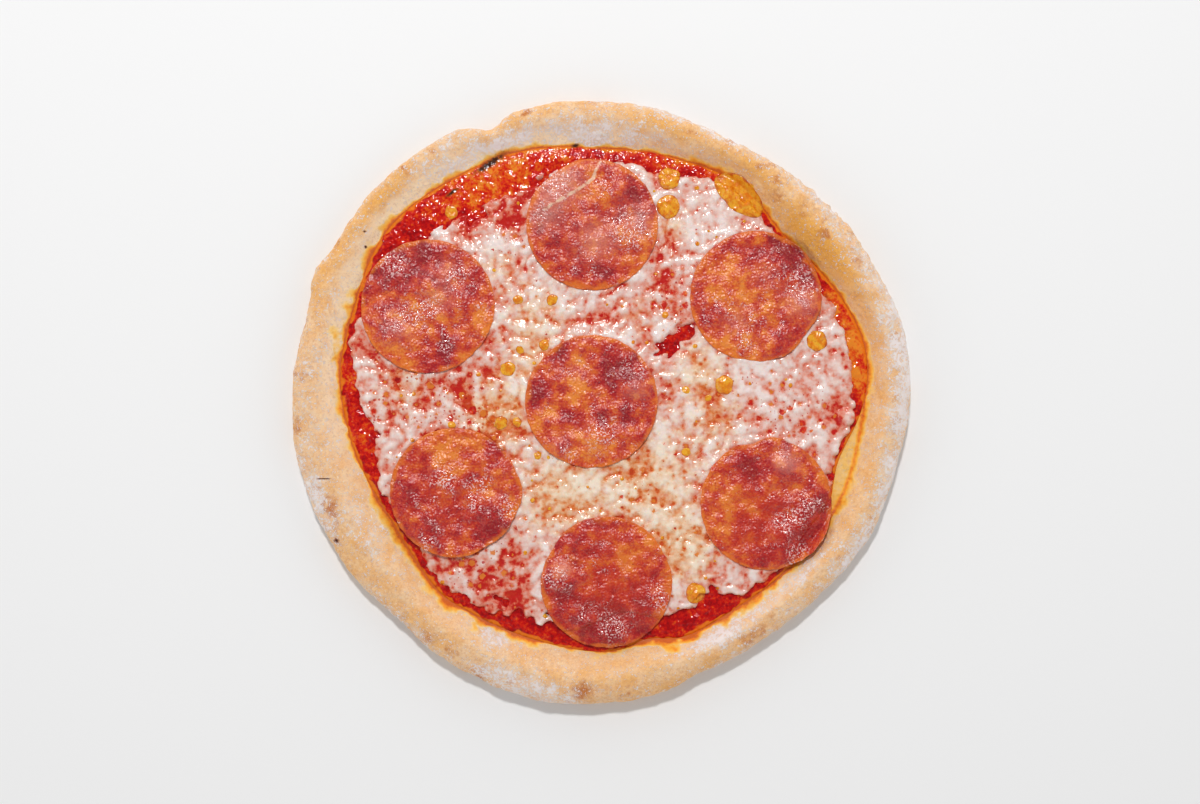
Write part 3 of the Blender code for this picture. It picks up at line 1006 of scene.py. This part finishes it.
def oval_depth(x, y, place, half_size, turn):
    """1 at the middle of a turned oval, 0 on its outline and less outside it."""
    way = math.radians(turn)
    along = (x - place[0]) * math.cos(way) + (y - place[1]) * math.sin(way)
    across = (y - place[1]) * math.cos(way) - (x - place[0]) * math.sin(way)
    return 1 - np.hypot(along / half_size[0], across / half_size[1])


def cheese_border(x, y):
    """Distance in from the cheese's ragged border, or from the bare patch, below 0 where sauce is bare."""
    angle = np.degrees(np.arctan2(y, x))
    place = flat_points(x, y)
    ragged = 1.8 * noise(place, 10.0, 69) + 2.2 * noise(place, 5.5, 70)
    ragged = ragged * (1 + 3.4 * spread(x, y, SCRAPPED)) + 0.9 * noise(place, 2.4, 71)
    inside = cheese_reach(angle) + 0.8 - np.hypot(x, y) + ragged
    warped = (x + 3.5 * noise(place, 4.5, 71), y + 3.5 * noise(place, 4.5, 72))
    patch = oval_depth(*warped, BARE_PATCH_PLACE, BARE_PATCH_HALF_SIZE, BARE_PATCH_TURN)
    bubble = BUBBLE_RADIUS * oval_depth(x, y, BUBBLE_PLACE, (BUBBLE_RADIUS, BUBBLE_RADIUS), 0)
    return np.maximum(np.minimum(inside, -BARE_PATCH_HALF_SIZE[1] * patch), bubble)


def curds(x, y):
    """Rounded blobs about 6 mm across with creases between: the size of a noise, twisted by another."""
    place = flat_points(x, y)
    twisted = flat_points(x + 3.0 * noise(place, 8.0, 61), y + 3.0 * noise(place, 8.0, 62))
    return np.minimum(np.sqrt(noise(twisted, 8.0, 63) ** 2 + 0.02) * 2.2, 1.0)


def cheese_cover(x, y):
    """How thick the cheese looks: to 0.3 thin and pink, above 0.7 thick and white."""
    cover = 0.27 + 0.50 * curds(x, y) + 0.45 * noise(flat_points(x, y), 12.0, 64)
    return cover + spread(x, y, CHEESE_DEPTHS)


def cheese_lumps(x, y):
    """Small lumps about 4 and 2 mm across, thicker and whiter where they rise."""
    place = flat_points(x, y)
    return 0.32 * noise(place, 4.2, 65) + 0.16 * noise(place, 2.2, 66)


# The slices, which the cheese swells round: node, middle, radius, direction in which the edge curls up,
# height of the curl, and lobes of the outline.
SLICES = (
    ("salami_top", (-4.6, 86.4), 32.0, 140, 0.5, ((128, 14, -1.4),)),
    ("salami_upper_right", (75.1, 51.2), 32.0, 60, 0.4, ((262, 16, -1.0), (324, 14, -1.8))),
    ("salami_upper_left", (-84.6, 46.6), 32.6, 200, 0.5, ((318, 20, -0.6),)),
    ("salami_middle", (-4.9, 0.3), 32.3, 330, 0.3, ((135, 18, -0.7),)),
    ("salami_lower_left", (-71.5, -44.1), 31.4, 250, 1.3, ((0, 16, 1.6), (300, 10, -1.0))),
    ("salami_lower_right", (80.2, -49.8), 32.0, 15, 0.5, ((104, 8, -1.9), (82, 8, 0.9))),
    ("salami_bottom", (2.4, -87.8), 32.0, 345, 0.4, ((150, 16, -1.2), (30, 14, -0.8))),
)


def slice_gap(x, y):
    """Distance out from the nearest slice's outline, less than 0 under a slice."""
    gap = np.full_like(x, 50.0)
    for _, (cx, cy), radius, _, _, dents in SLICES:
        angle = np.degrees(np.arctan2(y - cy, x - cx))
        gap = np.minimum(gap, np.hypot(x - cx, y - cy) - lobed(angle, radius, dents))
    return gap


def cheese_height(x, y):
    """Height of the sheet: just under the sauce where bare, then rounded up to full thickness, with curds.

    The border's section is a quarter circle: (1 - (1 - distance in / rounding) squared) to the power
    0.5. The sheet swells close round a slice, and is level under one.
    """
    place = flat_points(x, y)
    border = cheese_border(x, y)
    rounded = np.sqrt(1 - (1 - np.clip(border / CHEESE_ROUNDING, 0, 1)) ** 2)
    thick = 0.60 + 0.40 * ease(cheese_cover(x, y), 0.0, 0.9)
    lumps = 0.30 * (curds(x, y) - 0.6) + 0.25 * noise(place, 9.0, 77) + 0.55 * cheese_lumps(x, y)
    gap = slice_gap(x, y)
    swell = CHEESE_SWELL * bell(gap - 0.6, 2.2)
    full = CHEESE_UNDERSIDE + CHEESE_THICKNESS * thick + lumps + swell
    bubble = oval_depth(x, y, BUBBLE_PLACE, (BUBBLE_RADIUS, BUBBLE_RADIUS), 0)
    full = full + BUBBLE_HEIGHT * np.sqrt(np.clip(1 - (1 - np.clip(bubble, 0, 1)) ** 2, 0, 1))
    under = ease(-gap, 0.2, 2.0)
    full = full * (1 - under) + np.minimum(full, CHEESE_UNDERSIDE + CHEESE_THICKNESS) * under
    bare = sauce_top(x, y) - 0.5
    return bare + (full - bare) * rounded


def cheese_finish():
    """Melted cheese by its thickness: salmon, pink, cream, white, with flecks and holes of oily sauce."""
    material, tree, shader = make_tree("melted_cheese")
    red = wet_tomato(tree, between(tree, grain(tree, 11.0), 0.4, 0.8), 0.0)
    density = math_of(tree, "MAXIMUM", mark(tree, "flecks"), 0.35)
    holes, hole_chance = spotted(tree, 5.2, 0.2, 2.1, density, 1.8)
    pricks, prick_chance = spotted(tree, 2.3, 0.05, 0.85, density, 0.7)
    depth = ruffled(tree, mark(tree, "cover"), (grain(tree, 1.5, 2.0, 0.5), 0.6))
    depth = math_of(tree, "MULTIPLY_ADD", between(tree, holes, -1.4, 0.2), -0.30, depth)
    body = ramp(
        tree,
        depth,
        (0.00, 194, 30, 24),
        (0.13, 212, 86, 62),
        (0.26, 223, 130, 108),
        (0.42, 227, 162, 146),
        (0.58, 231, 188, 177),
        (0.76, 235, 205, 196),
        (0.98, 241, 223, 218),
    )
    buttery = ramp(
        tree,
        depth,
        (0.00, 200, 76, 24),
        (0.18, 220, 120, 56),
        (0.36, 228, 158, 110),
        (0.54, 236, 191, 153),
        (0.74, 241, 210, 180),
        (0.98, 245, 227, 205),
    )
    cream = ruffled(tree, mark(tree, "cream"), (grain(tree, 4.0, 3.0), 1.2))
    body = blended(tree, between(tree, cream, 0.0, 0.8), body, buttery)
    hole_colour = blended(tree, between(tree, hole_chance, 0.38, 0.62), red, (222, 124, 44))
    warm = math_of(tree, "MAXIMUM", mark(tree, "cream"), math_of(tree, "POWER", prick_chance, 3.0))
    prick_colour = blended(tree, warm, (184, 26, 26), (216, 120, 46))
    body = painted(tree, body, holes, 0.0, 0.35, 0.92, hole_colour)
    body = painted(tree, body, pricks, 0.0, 0.25, 0.85, prick_colour)
    edge = ruffled(tree, mark(tree, "border"), (grain(tree, 1.4, 2.0), 0.8))
    colour = blended(tree, between(tree, edge, -0.2, 0.25), red, body)
    roughness = between(tree, grain(tree, 4.0, 2.0), 0.3, 0.7, 0.10, 0.22)
    raised = math_of(tree, "MULTIPLY_ADD", depth, 0.5, grain(tree, 1.9, 0.0))
    set_shader(tree, shader, colour, roughness, 0.5, (0.18, (1.0, 0.5, 0.35), 1.2), raised, 0.38)
    return material


cheese_share, cheese_angle = disc_grid(CHEESE_GRID)
sheet_reach = cheese_reach(cheese_angle) + CHEESE_ROUNDING
cheese_x, cheese_y = disc_places(cheese_share, cheese_angle, sheet_reach)
cheese_sheet = np.stack((cheese_x, cheese_y, cheese_height(cheese_x, cheese_y)), axis=-1)
cheese_marks = {
    "cover": np.clip(cheese_cover(cheese_x, cheese_y) + cheese_lumps(cheese_x, cheese_y), -0.5, 1.5),
    "border": np.clip(cheese_border(cheese_x, cheese_y), -2, 2),
    "cream": np.clip(spread(cheese_x, cheese_y, CREAMY), 0, 1),
    "flecks": np.clip(spread(cheese_x, cheese_y, FLECKED), 0, 1),
}
make_sheet(
    "cheese_melted",
    cheese_sheet,
    CHEESE_GRID,
    CHEESE_BOTTOM,
    cheese_marks,
    cheese_finish(),
    "melted_cheese",
)


# The salami. Thin slices of cured pork sausage, cooked on the cheese until the fat ran: orange-red
# meat with dark red patches, an orange rim, and a wet, finely wrinkled face that glitters. Its sheen
# and glints are partly painted into the colour.
SLICE_GRID = 150
SLICE_THICKNESS = 1.3
SLICE_EDGE_LOSS = 0.6
SLICE_GAP = 0.3
# A slice is too stiff to sink into a dip narrower than twice this.
SLICE_STIFF_REACH = 3.0
BULGE_HEIGHT = 2.3
WAVE_HEIGHT = 0.90
WRINKLE_HEIGHT = 0.32
TEAR_LIFT = 0.35
TEAR_RIDGE = 0.25
# The cheese under the slices, without its curds: its rise over the sauce, and how far in it gets there.
CHEESE_RISE = 2.2
CHEESE_SHOULDER = 9.0
# Darker (above 0) or more orange (below 0) places, from the slice's middle: place, radius, amount.
SLICE_TONES = {
    "salami_top": (
        (5.4, -22, 4.5, 0.7), (23, 14, 7, 0.5), (-22, -2, 8, 0.3), (-14, -12, 9, 0.2),
        (8, 4, 9, 0.15), (4, 14, 9, -0.15), (-8, -26, 8, 0.2), (26, -8, 8, -0.15),
    ),
    "salami_upper_right": (
        (23, 15, 10, 0.6), (14, 25, 7, 0.5), (14, -16, 8, 0.25), (-16, -8, 5, 0.2),
        (-4, 20, 6, 0.25), (-14, 10, 10, -0.3), (2, -6, 10, -0.25), (-6, -24, 9, -0.3),
    ),
    "salami_upper_left": (
        (-2, 24, 11, 0.5), (-20, 16, 10, 0.4), (20, 8, 8, 0.35), (8, -22, 9, 0.4),
        (-18, -8, 8, 0.15), (-2, -4, 10, -0.2), (26, -6, 8, -0.25), (-12, -24, 8, -0.25),
    ),
    "salami_middle": (
        (14, 15, 9, 0.7), (-26, 5.6, 6, 0.5), (-16, 22, 6, 0.4), (-11.5, -7.6, 4, 0.5),
        (3.7, -6.6, 4.5, 0.5), (18, -6, 9, 0.2), (-6.6, 5.6, 7, -0.4), (0, -24, 10, -0.3),
        (-24, -14, 8, -0.2),
    ),
    "salami_lower_left": (
        (22, 22, 6, 0.5), (-20, -2, 9, 0.35), (17, -18, 9, 0.6), (-8, -18, 9, 0.4), (4, 4, 8, 0.2),
        (-2, 22, 11, -0.35), (14, 2, 8, -0.2), (2, -28, 6, -0.3),
    ),
    "salami_lower_right": (
        (-7, 18, 8, 0.6), (15, -13, 11, 0.4), (26, 2, 8, 0.35), (2, -22, 8, 0.25),
        (-14.6, 3, 9, -0.35), (4, 2, 6, 0.2), (-20, -16, 8, -0.15),
    ),
    "salami_bottom": (
        (0, -20, 15, 0.6), (-22, -6, 10, 0.4), (-6, 20, 8, 0.3), (20, -6, 9, 0.3),
        (9, 10.7, 7, -0.4), (-10, 4, 8, -0.1), (22, 18, 7, -0.2),
    ),
}
# Painted pinkish sheen (above 0) where the fat shines, and a stronger orange-red (below 0): place, radius,
# amount.
SLICE_PAINTED_SHEEN_AND_TINT = {
    "salami_top": ((-16, 20, 12, 0.8), (-24, 4, 9, 0.6), (22, 2, 10, 0.6), (2, -8, 11, 0.6)),
    "salami_upper_left": ((6, 4, 10, 0.4), (-14, -10, 9, 0.45), (10, 18, 7, 0.4)),
    "salami_upper_right": ((22, -2, 9, 0.6), (-10, -12, 8, 0.4), (4, 10, 8, 0.3)),
    "salami_middle": ((22, 6, 7, 0.4), (-8, 14, 8, 0.25), (-14, -20, 7, 0.25)),
    "salami_lower_left": ((0, 0, 30, -0.5),),
    "salami_lower_right": ((9, 20, 9, 1), (-2, -4, 30, -0.7)),
    "salami_bottom": ((-21, 6, 6, 1.1), (2, 0, 30, -0.7)),
}
# Low bulges where steam has lifted the slice: place, radius, share of the bulge height.
SLICE_BULGES = {
    "salami_top": ((-18, 12, 8, 1), (12, 16, 7, 0.9), (-4, -10, 8, 0.8), (17, -6, 7, 0.8)),
    "salami_upper_right": ((25, -6, 7, 1.1), (12, -22, 6, 0.8), (-6, 6, 9, 0.6), (16, 12, 5, 0.6)),
    "salami_upper_left": ((0, 10, 7, 1), (-15, -14, 7, 0.9), (15, 2, 6, 0.8), (-18, 14, 6, 0.8)),
    "salami_middle": ((22, 7, 6, 1.2), (3, -19, 6, 0.9), (-17, -25, 5, 0.8), (26, -17, 5, 0.8)),
    "salami_lower_left": ((-14, -15, 7, 0.9), (18, -9, 6, 0.9), (-4, 8, 7, 0.7), (-20, 6, 5, 0.6)),
    "salami_lower_right": ((8, -16, 7, 1.2), (20, -6, 7, 1.2), (12, -30, 6, 0.9), (8, 18, 6, 0.7)),
    "salami_bottom": ((-21, 2, 6.5, 1.4), (4, -25, 8, 1.1), (18, -16, 6, 0.9), (-12, -20, 6, 0.8)),
}
# Where fat glitters on a slice, which sets lower roughness, stronger pebbles and painted glints: place,
# radius, amount.
SLICE_SHEEN = {
    "salami_top": (
        (-17, 20, 9, 1), (18, -3, 10, 1), (-26, 5, 6, 0.7), (8, 20, 7, 0.5), (-4, -18, 8, 0.4),
    ),
    "salami_upper_right": (
        (22, 6, 9, 1), (-3, -12, 9, 0.5), (-18, -4, 8, 0.4), (-6, -24, 6, 0.5), (8, 10, 8, 0.3),
    ),
    "salami_upper_left": (
        (-17, 20, 8, 0.8), (0, -2, 8, 0.9), (-11, -3, 6, 0.7), (14, 14, 7, 0.8), (24, 0, 6, 0.6),
        (-18, -12, 7, 0.6), (9, -15, 7, 0.6),
    ),
    "salami_middle": (
        (5, -17, 10, 0.8), (20, 15, 8, 0.7), (-12, -26, 5, 0.6), (-4, 13, 8, 0.4),
        (-24, -6, 6, 0.3),
    ),
    "salami_lower_left": (
        (-4, 9, 8, 0.8), (10, -1, 7, 0.8), (16, 9, 5, 0.5), (24, -8, 6, 1), (-12, -24, 6, 0.7),
        (-12, -9, 6, 0.4),
    ),
    "salami_lower_right": ((11, -8, 7, 1.1), (21, 0, 6, 0.9), (14, -24, 6, 0.9), (8, 25, 5, 0.4)),
    "salami_bottom": (
        (-24, 2, 6, 1.3), (3, -22, 9, 0.8), (24, -8, 7, 0.7), (-3, 14, 8, 0.3), (-12, -14, 7, 0.3),
    ),
}
# A tear in the top slice, which runs from its left part up to its far edge.
CREASE = ((-27.6, 93.7), (-11.5, 103.4), (-4.5, 108.5), (-0.7, 117.1))


def support_height(x, y):
    """What a slice lies on: the higher of the slope and the cheese, rounded off towards its border."""
    angle = np.degrees(np.arctan2(y, x))
    inside = np.clip((cheese_reach(angle) - np.hypot(x, y)) / CHEESE_SHOULDER, 0, 1)
    cheese_here = SAUCE_TOP + CHEESE_RISE * np.sqrt(np.clip(1 - (1 - inside) ** 2, 0, 1))
    return np.maximum(crust_top(x, y), cheese_here)


def resting_height(x, y):
    """Underside of a stiff slice: the highest support here and at its reach, looked up in eight ways."""
    best = support_height(x, y)
    for step in range(8):
        turn = step * math.pi / 4
        beside_x = x + SLICE_STIFF_REACH * math.cos(turn)
        beside_y = y + SLICE_STIFF_REACH * math.sin(turn)
        best = np.maximum(best, support_height(beside_x, beside_y))
    return best + SLICE_GAP


def crease_lift(x, y):
    """Distance from the tear, and 1 on its upper-left side, 0 on the other."""
    nearest = np.full_like(x, 99.0)
    side = np.zeros_like(x)
    for (ax, ay), (bx, by) in zip(CREASE[:-1], CREASE[1:]):
        length = math.hypot(bx - ax, by - ay)
        along = np.clip(((x - ax) * (bx - ax) + (y - ay) * (by - ay)) / length**2, 0, 1)
        off = np.hypot(x - ax - along * (bx - ax), y - ay - along * (by - ay))
        across = ((bx - ax) * (y - ay) - (by - ay) * (x - ax)) / length
        side = np.where(off < nearest, across, side)
        nearest = np.minimum(nearest, off)
    return nearest, ease(side, -0.6, 1.2)


def round_noise(angle, radius, height, seed):
    """Noise that closes round a disc: read along a circle of a radius, at a height."""
    turn = np.radians(angle)
    place = np.stack((np.cos(turn) * radius, np.sin(turn) * radius, turn * 0 + height), axis=-1)
    return noise(place, 1.0, seed)


def slice_sheet(node, middle, radius, curl_way, curl, dents, seed):
    """The slice's top: a dented disc that rests, curls up on one side, and is wavy and wrinkled.

    With it come the share of the way out, the places and how much fat makes each place shine,
    which also sets where glints are painted.
    """
    share, angle = disc_grid(SLICE_GRID)
    reach = lobed(angle, radius, dents) + 0.35 * round_noise(angle, 8, seed, seed)
    x, y = disc_places(share, angle, reach, middle)
    place = flat_points(x, y)
    waves = WAVE_HEIGHT * noise(place, 13.0, seed) + WAVE_HEIGHT * noise(place, 6.5, seed + 1)
    wrinkles = WRINKLE_HEIGHT * noise(place, 3.2, seed + 2)
    lift = curl * (0.5 + 0.5 * np.cos(np.radians(angle - curl_way))) * share**4
    bulges = spread(x - middle[0], y - middle[1], SLICE_BULGES[node])
    edge = share**10
    z = resting_height(x, y) + SLICE_THICKNESS - SLICE_EDGE_LOSS * edge + lift
    z = z + (waves + BULGE_HEIGHT * bulges) * (1 - 0.7 * edge) + wrinkles - 0.1
    sheen = spread(x - middle[0], y - middle[1], SLICE_SHEEN[node]) + 0.5 * noise(place, 6.0, seed + 4)
    return share, place, np.clip(sheen, 0, 1), np.stack((x, y, z), axis=-1)


def two_sided(top, thickness, steps):
    """A thin solid: the top sheet, the same sheet lower by the thickness, and a wall round the border."""
    under = top - np.stack((np.zeros_like(thickness), np.zeros_like(thickness), thickness), axis=-1)
    points = np.concatenate((top.reshape(-1, 3), under.reshape(-1, 3)))
    count = (steps + 1) ** 2
    border = border_of(steps)
    after = np.roll(border, -1)
    wall = np.stack((border, border + count, after + count, after), axis=-1)
    faces = square_faces(steps)
    return points, [faces, faces[:, ::-1] + count, wall]


def salami_finish():
    """Oily cured sausage: mottled orange and crimson, with an orange rim, pale fat, black specks, and painted
    pinkish sheen and glints where the fat shines.
    """
    material, tree, shader = make_tree("salami")
    tone = mark(tree, "tone")
    tone = ruffled(tree, tone, (grain(tree, 6.0, 3.0, 0.5), 1.1), (grain(tree, 1.1, 2.0, 0.6), 0.9))
    colour = ramp(
        tree,
        tone,
        (0.00, 234, 134, 44),
        (0.22, 218, 96, 30),
        (0.45, 198, 54, 28),
        (0.66, 176, 18, 26),
        (0.90, 146, 0, 22),
    )
    sheen = ruffled(tree, mark(tree, "sheen"), (grain(tree, 3.0, 3.0, 0.6), 1.8))
    fat = between(tree, grain(tree, 0.9, 2.0, 0.6), 0.52, 0.68, 0.0, 0.25)
    colour = blended(tree, fat, colour, (230, 138, 104))
    # Painted sheen: a pale pinkish veil laid where the slice shines, and below 0 a deeper orange-red.
    painted_sheen_and_tint = ruffled(tree, mark(tree, "pale_and_lit"), (grain(tree, 2.5, 3.0), 0.5))
    colour = painted(tree, colour, painted_sheen_and_tint, 0.0, 1.0, 0.65, (222, 148, 132))
    colour = painted(tree, colour, painted_sheen_and_tint, -0.1, -1.0, 0.6, (198, 46, 6))
    rim = ruffled(tree, mark(tree, "rim"), (grain(tree, 9.0, 2.0), 3.2))
    colour = painted(tree, colour, rim, 0.4, 1.2, 0.75, (228, 118, 28))
    tear = ruffled(tree, mark(tree, "tear"), (grain(tree, 1.4, 2.0), 0.8))
    colour = painted(tree, colour, tear, 0.3, 0.8, 0.9, (240, 200, 170))
    specks, _ = spotted(tree, 8.0, 0.02, 0.34, 1.0, 0.3)
    colour = painted(tree, colour, specks, 0.0, 0.2, 0.9, (60, 20, 16))
    # Painted glints: pinkish-white specks laid into the colour where the fat shines, besides the lamp's own
    # glints off the pebbled face.
    painted_glints = between(tree, grain(tree, 0.95, 1.0, 0.5), 0.51, 0.62)
    painted_glints = math_of(tree, "MULTIPLY", painted_glints, between(tree, sheen, 0.15, 0.90, 0.0, 0.80))
    colour = blended(tree, painted_glints, colour, (250, 210, 208))
    roughness = between(tree, sheen, 0.1, 0.8, 0.34, 0.10)
    pebbles = math_of(tree, "MULTIPLY", grain(tree, 1.15, 0.0), between(tree, sheen, 0.1, 0.7, 0.6, 1.0))
    set_shader(tree, shader, colour, roughness, 0.6, (0.06, (1.0, 0.3, 0.15), 1.0), pebbles, 0.66)
    return material


salami_material = salami_finish()
for number, (node, middle, radius, curl_way, curl, dents) in enumerate(SLICES):
    share, place, sheen, sheet = slice_sheet(node, middle, radius, curl_way, curl, dents, 100 + 10 * number)
    off_x, off_y = sheet[..., 0] - middle[0], sheet[..., 1] - middle[1]
    mottling = 0.30 * noise(place, 8.0, 92) + 0.2 * noise(place, 4.0, 93)
    marks = {
        "tone": np.clip(0.40 + spread(off_x, off_y, SLICE_TONES[node]) + mottling, 0, 1),
        "pale_and_lit": spread(off_x, off_y, SLICE_PAINTED_SHEEN_AND_TINT[node]),
        "rim": ease(share, 0.87, 1.0),
        "sheen": sheen,
    }
    if node == "salami_top":
        tear_gap, raised = crease_lift(sheet[..., 0], sheet[..., 1])
        sheet[..., 2] += TEAR_LIFT * raised * ease(share, 1.0, 0.9) + TEAR_RIDGE * bell(tear_gap, 0.9)
        marks["tear"] = bell(tear_gap, 1.1) * (0.8 + 0.6 * noise(place, 3.0, 94))
    thickness = SLICE_THICKNESS - SLICE_EDGE_LOSS * share**10
    points, faces = two_sided(sheet, thickness, SLICE_GRID)
    marks = {name: np.tile(values.ravel(), 2) for name, values in marks.items()}
    make_piece(node + "_slice", points, faces, marks, salami_material, node)


# The blisters. Fat that has boiled up through the cheese and set as low orange domes, shiny and
# covered in tiny bubbles.
# Node, middle, half length, half width, turn in degrees and height.
BLISTERS = (
    ("fat_blister_oval", (67.2, 100.9), 14.4, 7.6, -41, 1.5),
    ("fat_blister_top", (32.9, 109.0), 5.6, 5.6, 0, 1.0),
    ("fat_blister_high", (32.6, 95.2), 5.5, 5.8, 0, 1.0),
    ("fat_blister_right", (104.9, 29.8), 5.0, 5.0, 0, 0.9),
    ("fat_blister_inner", (59.8, 8.3), 4.6, 4.6, 0, 0.9),
    ("fat_blister_low", (45.8, -93.2), 5.0, 5.0, 0, 1.1),
)
BLISTER_GRID = 60


def visible_top(x, y):
    """Height of whichever of dough, sauce and cheese is uppermost."""
    return np.maximum(np.maximum(crust_top(x, y), sauce_top(x, y)), cheese_height(x, y))


def dome(middle, half_length, half_width, turn, height, steps, seed):
    """An oval dome that follows what it lies on, and its underside, with tiny bubbles in its skin.

    It rises by height * (1 - share squared) to the power 0.7.
    """
    share, angle = disc_grid(steps)
    off = np.radians(angle - turn)
    reach = half_length * half_width / np.hypot(half_width * np.cos(off), half_length * np.sin(off))
    reach = reach * (1 + 0.10 * round_noise(angle, 1.5, seed, 95))
    x, y = disc_places(share, angle, reach, middle)
    place = flat_points(x, y)
    rise = height * np.clip(1 - share**2, 0, 1) ** 0.7
    pimples = (0.07 * noise(place, 2.6, 97) + 0.04 * noise(place, 1.2, 98)) * (1 - share**6)
    ground = visible_top(x, y)
    top = np.stack((x, y, ground + rise + pimples * min(height, 1.0) + 0.05), axis=-1)
    return share, *two_sided(top, rise + 0.4, steps)


def fat_finish():
    """Set orange fat: amber and orange with tiny bubbles, red-brown in places along its edge."""
    material, tree, shader = make_tree("melted_fat")
    amber = (240, 172, 46)
    orange = (226, 128, 18)
    rust = (180, 62, 16)
    colour = blended(tree, between(tree, grain(tree, 3.0, 3.0, 0.6), 0.36, 0.62), amber, orange)
    bubbles, _ = spotted(tree, 1.8, 0.1, 0.5, 1.0, 0.4)
    colour = painted(tree, colour, bubbles, -0.1, 0.1, 0.4, (206, 96, 20))
    ring = ruffled(tree, mark(tree, "rim"), (grain(tree, 3.0, 2.0), 0.8))
    colour = painted(tree, colour, ring, 0.85, 1.15, 0.8, rust)
    set_shader(tree, shader, colour, 0.2, 0.5, (0.3, (1.0, 0.5, 0.1), 1.5), grain(tree, 1.3, 0.0), 0.16)
    return material


fat_material = fat_finish()
for number, (node, middle, *shape) in enumerate(BLISTERS):
    share, points, faces = dome(middle, *shape, BLISTER_GRID, number)
    marks = {"rim": np.tile(share.ravel(), 2)}
    make_piece(node + "_dome", points, faces, marks, fat_material, node)


# Drops of fat. Small orange drops that stand on the cheese, most of them near the middle slice, with
# many tiny ones strewn between. They are low domes, too small to be pieces of their own.
# Middle and radius.
DROPS = (
    (-40.7, 49.8, 2.2),
    (-24.1, 49.8, 2.6),
    (-28, 27.8, 2.4),
    (-39.8, 25.4, 1.8),
    (-45.6, 16.1, 3.4),
    (-49, -10.2, 3),
    (-41.2, -9.8, 2.2),
    (41.2, 5.9, 1.8),
    (41.2, -24.4, 2),
    (31, 42.4, 1.6),
    (-73.4, 92.7, 3),
    (-72.9, -11.2, 1.8),
    (52, 2, 1.5),
    (-31, -26, 1.8),
)
TINY_DROPS = 45
DROP_GRID = 14
TINY_DROP_GRID = 8
# A drop is a little longer than wide, each is turned a step on from the last, and it rises by a share
# of its radius.
DROP_STRETCH = 1.15
DROP_TURN_STEP = 47.0
DROP_RISE = 0.18
strewn = np.random.default_rng(7)

drop_rows = [(x, y, radius, DROP_GRID) for x, y, radius in DROPS]
while len(drop_rows) < len(DROPS) + TINY_DROPS:
    x, y = strewn.uniform(-105, 105, 2)
    radius = strewn.uniform(0.5, 1.1)
    spot = np.array([x]), np.array([y])
    if slice_gap(*spot)[0] > 1.0 and cheese_border(*spot)[0] > 1.0:
        drop_rows.append((x, y, radius, TINY_DROP_GRID))
drop_points = []
drop_faces = []
drop_marks = []
drop_count = 0
for number, (x, y, radius, steps) in enumerate(drop_rows):
    shape = (radius * DROP_STRETCH, radius, number * DROP_TURN_STEP, DROP_RISE * radius)
    share, points, faces = dome((x, y), *shape, steps, number)
    drop_points.append(points)
    drop_faces.extend(face + drop_count for face in faces)
    drop_marks.append(np.tile(share.ravel(), 2))
    drop_count += len(points)
make_piece(
    "fat_drops",
    np.concatenate(drop_points),
    drop_faces,
    {"rim": np.concatenate(drop_marks)},
    fat_material,
)
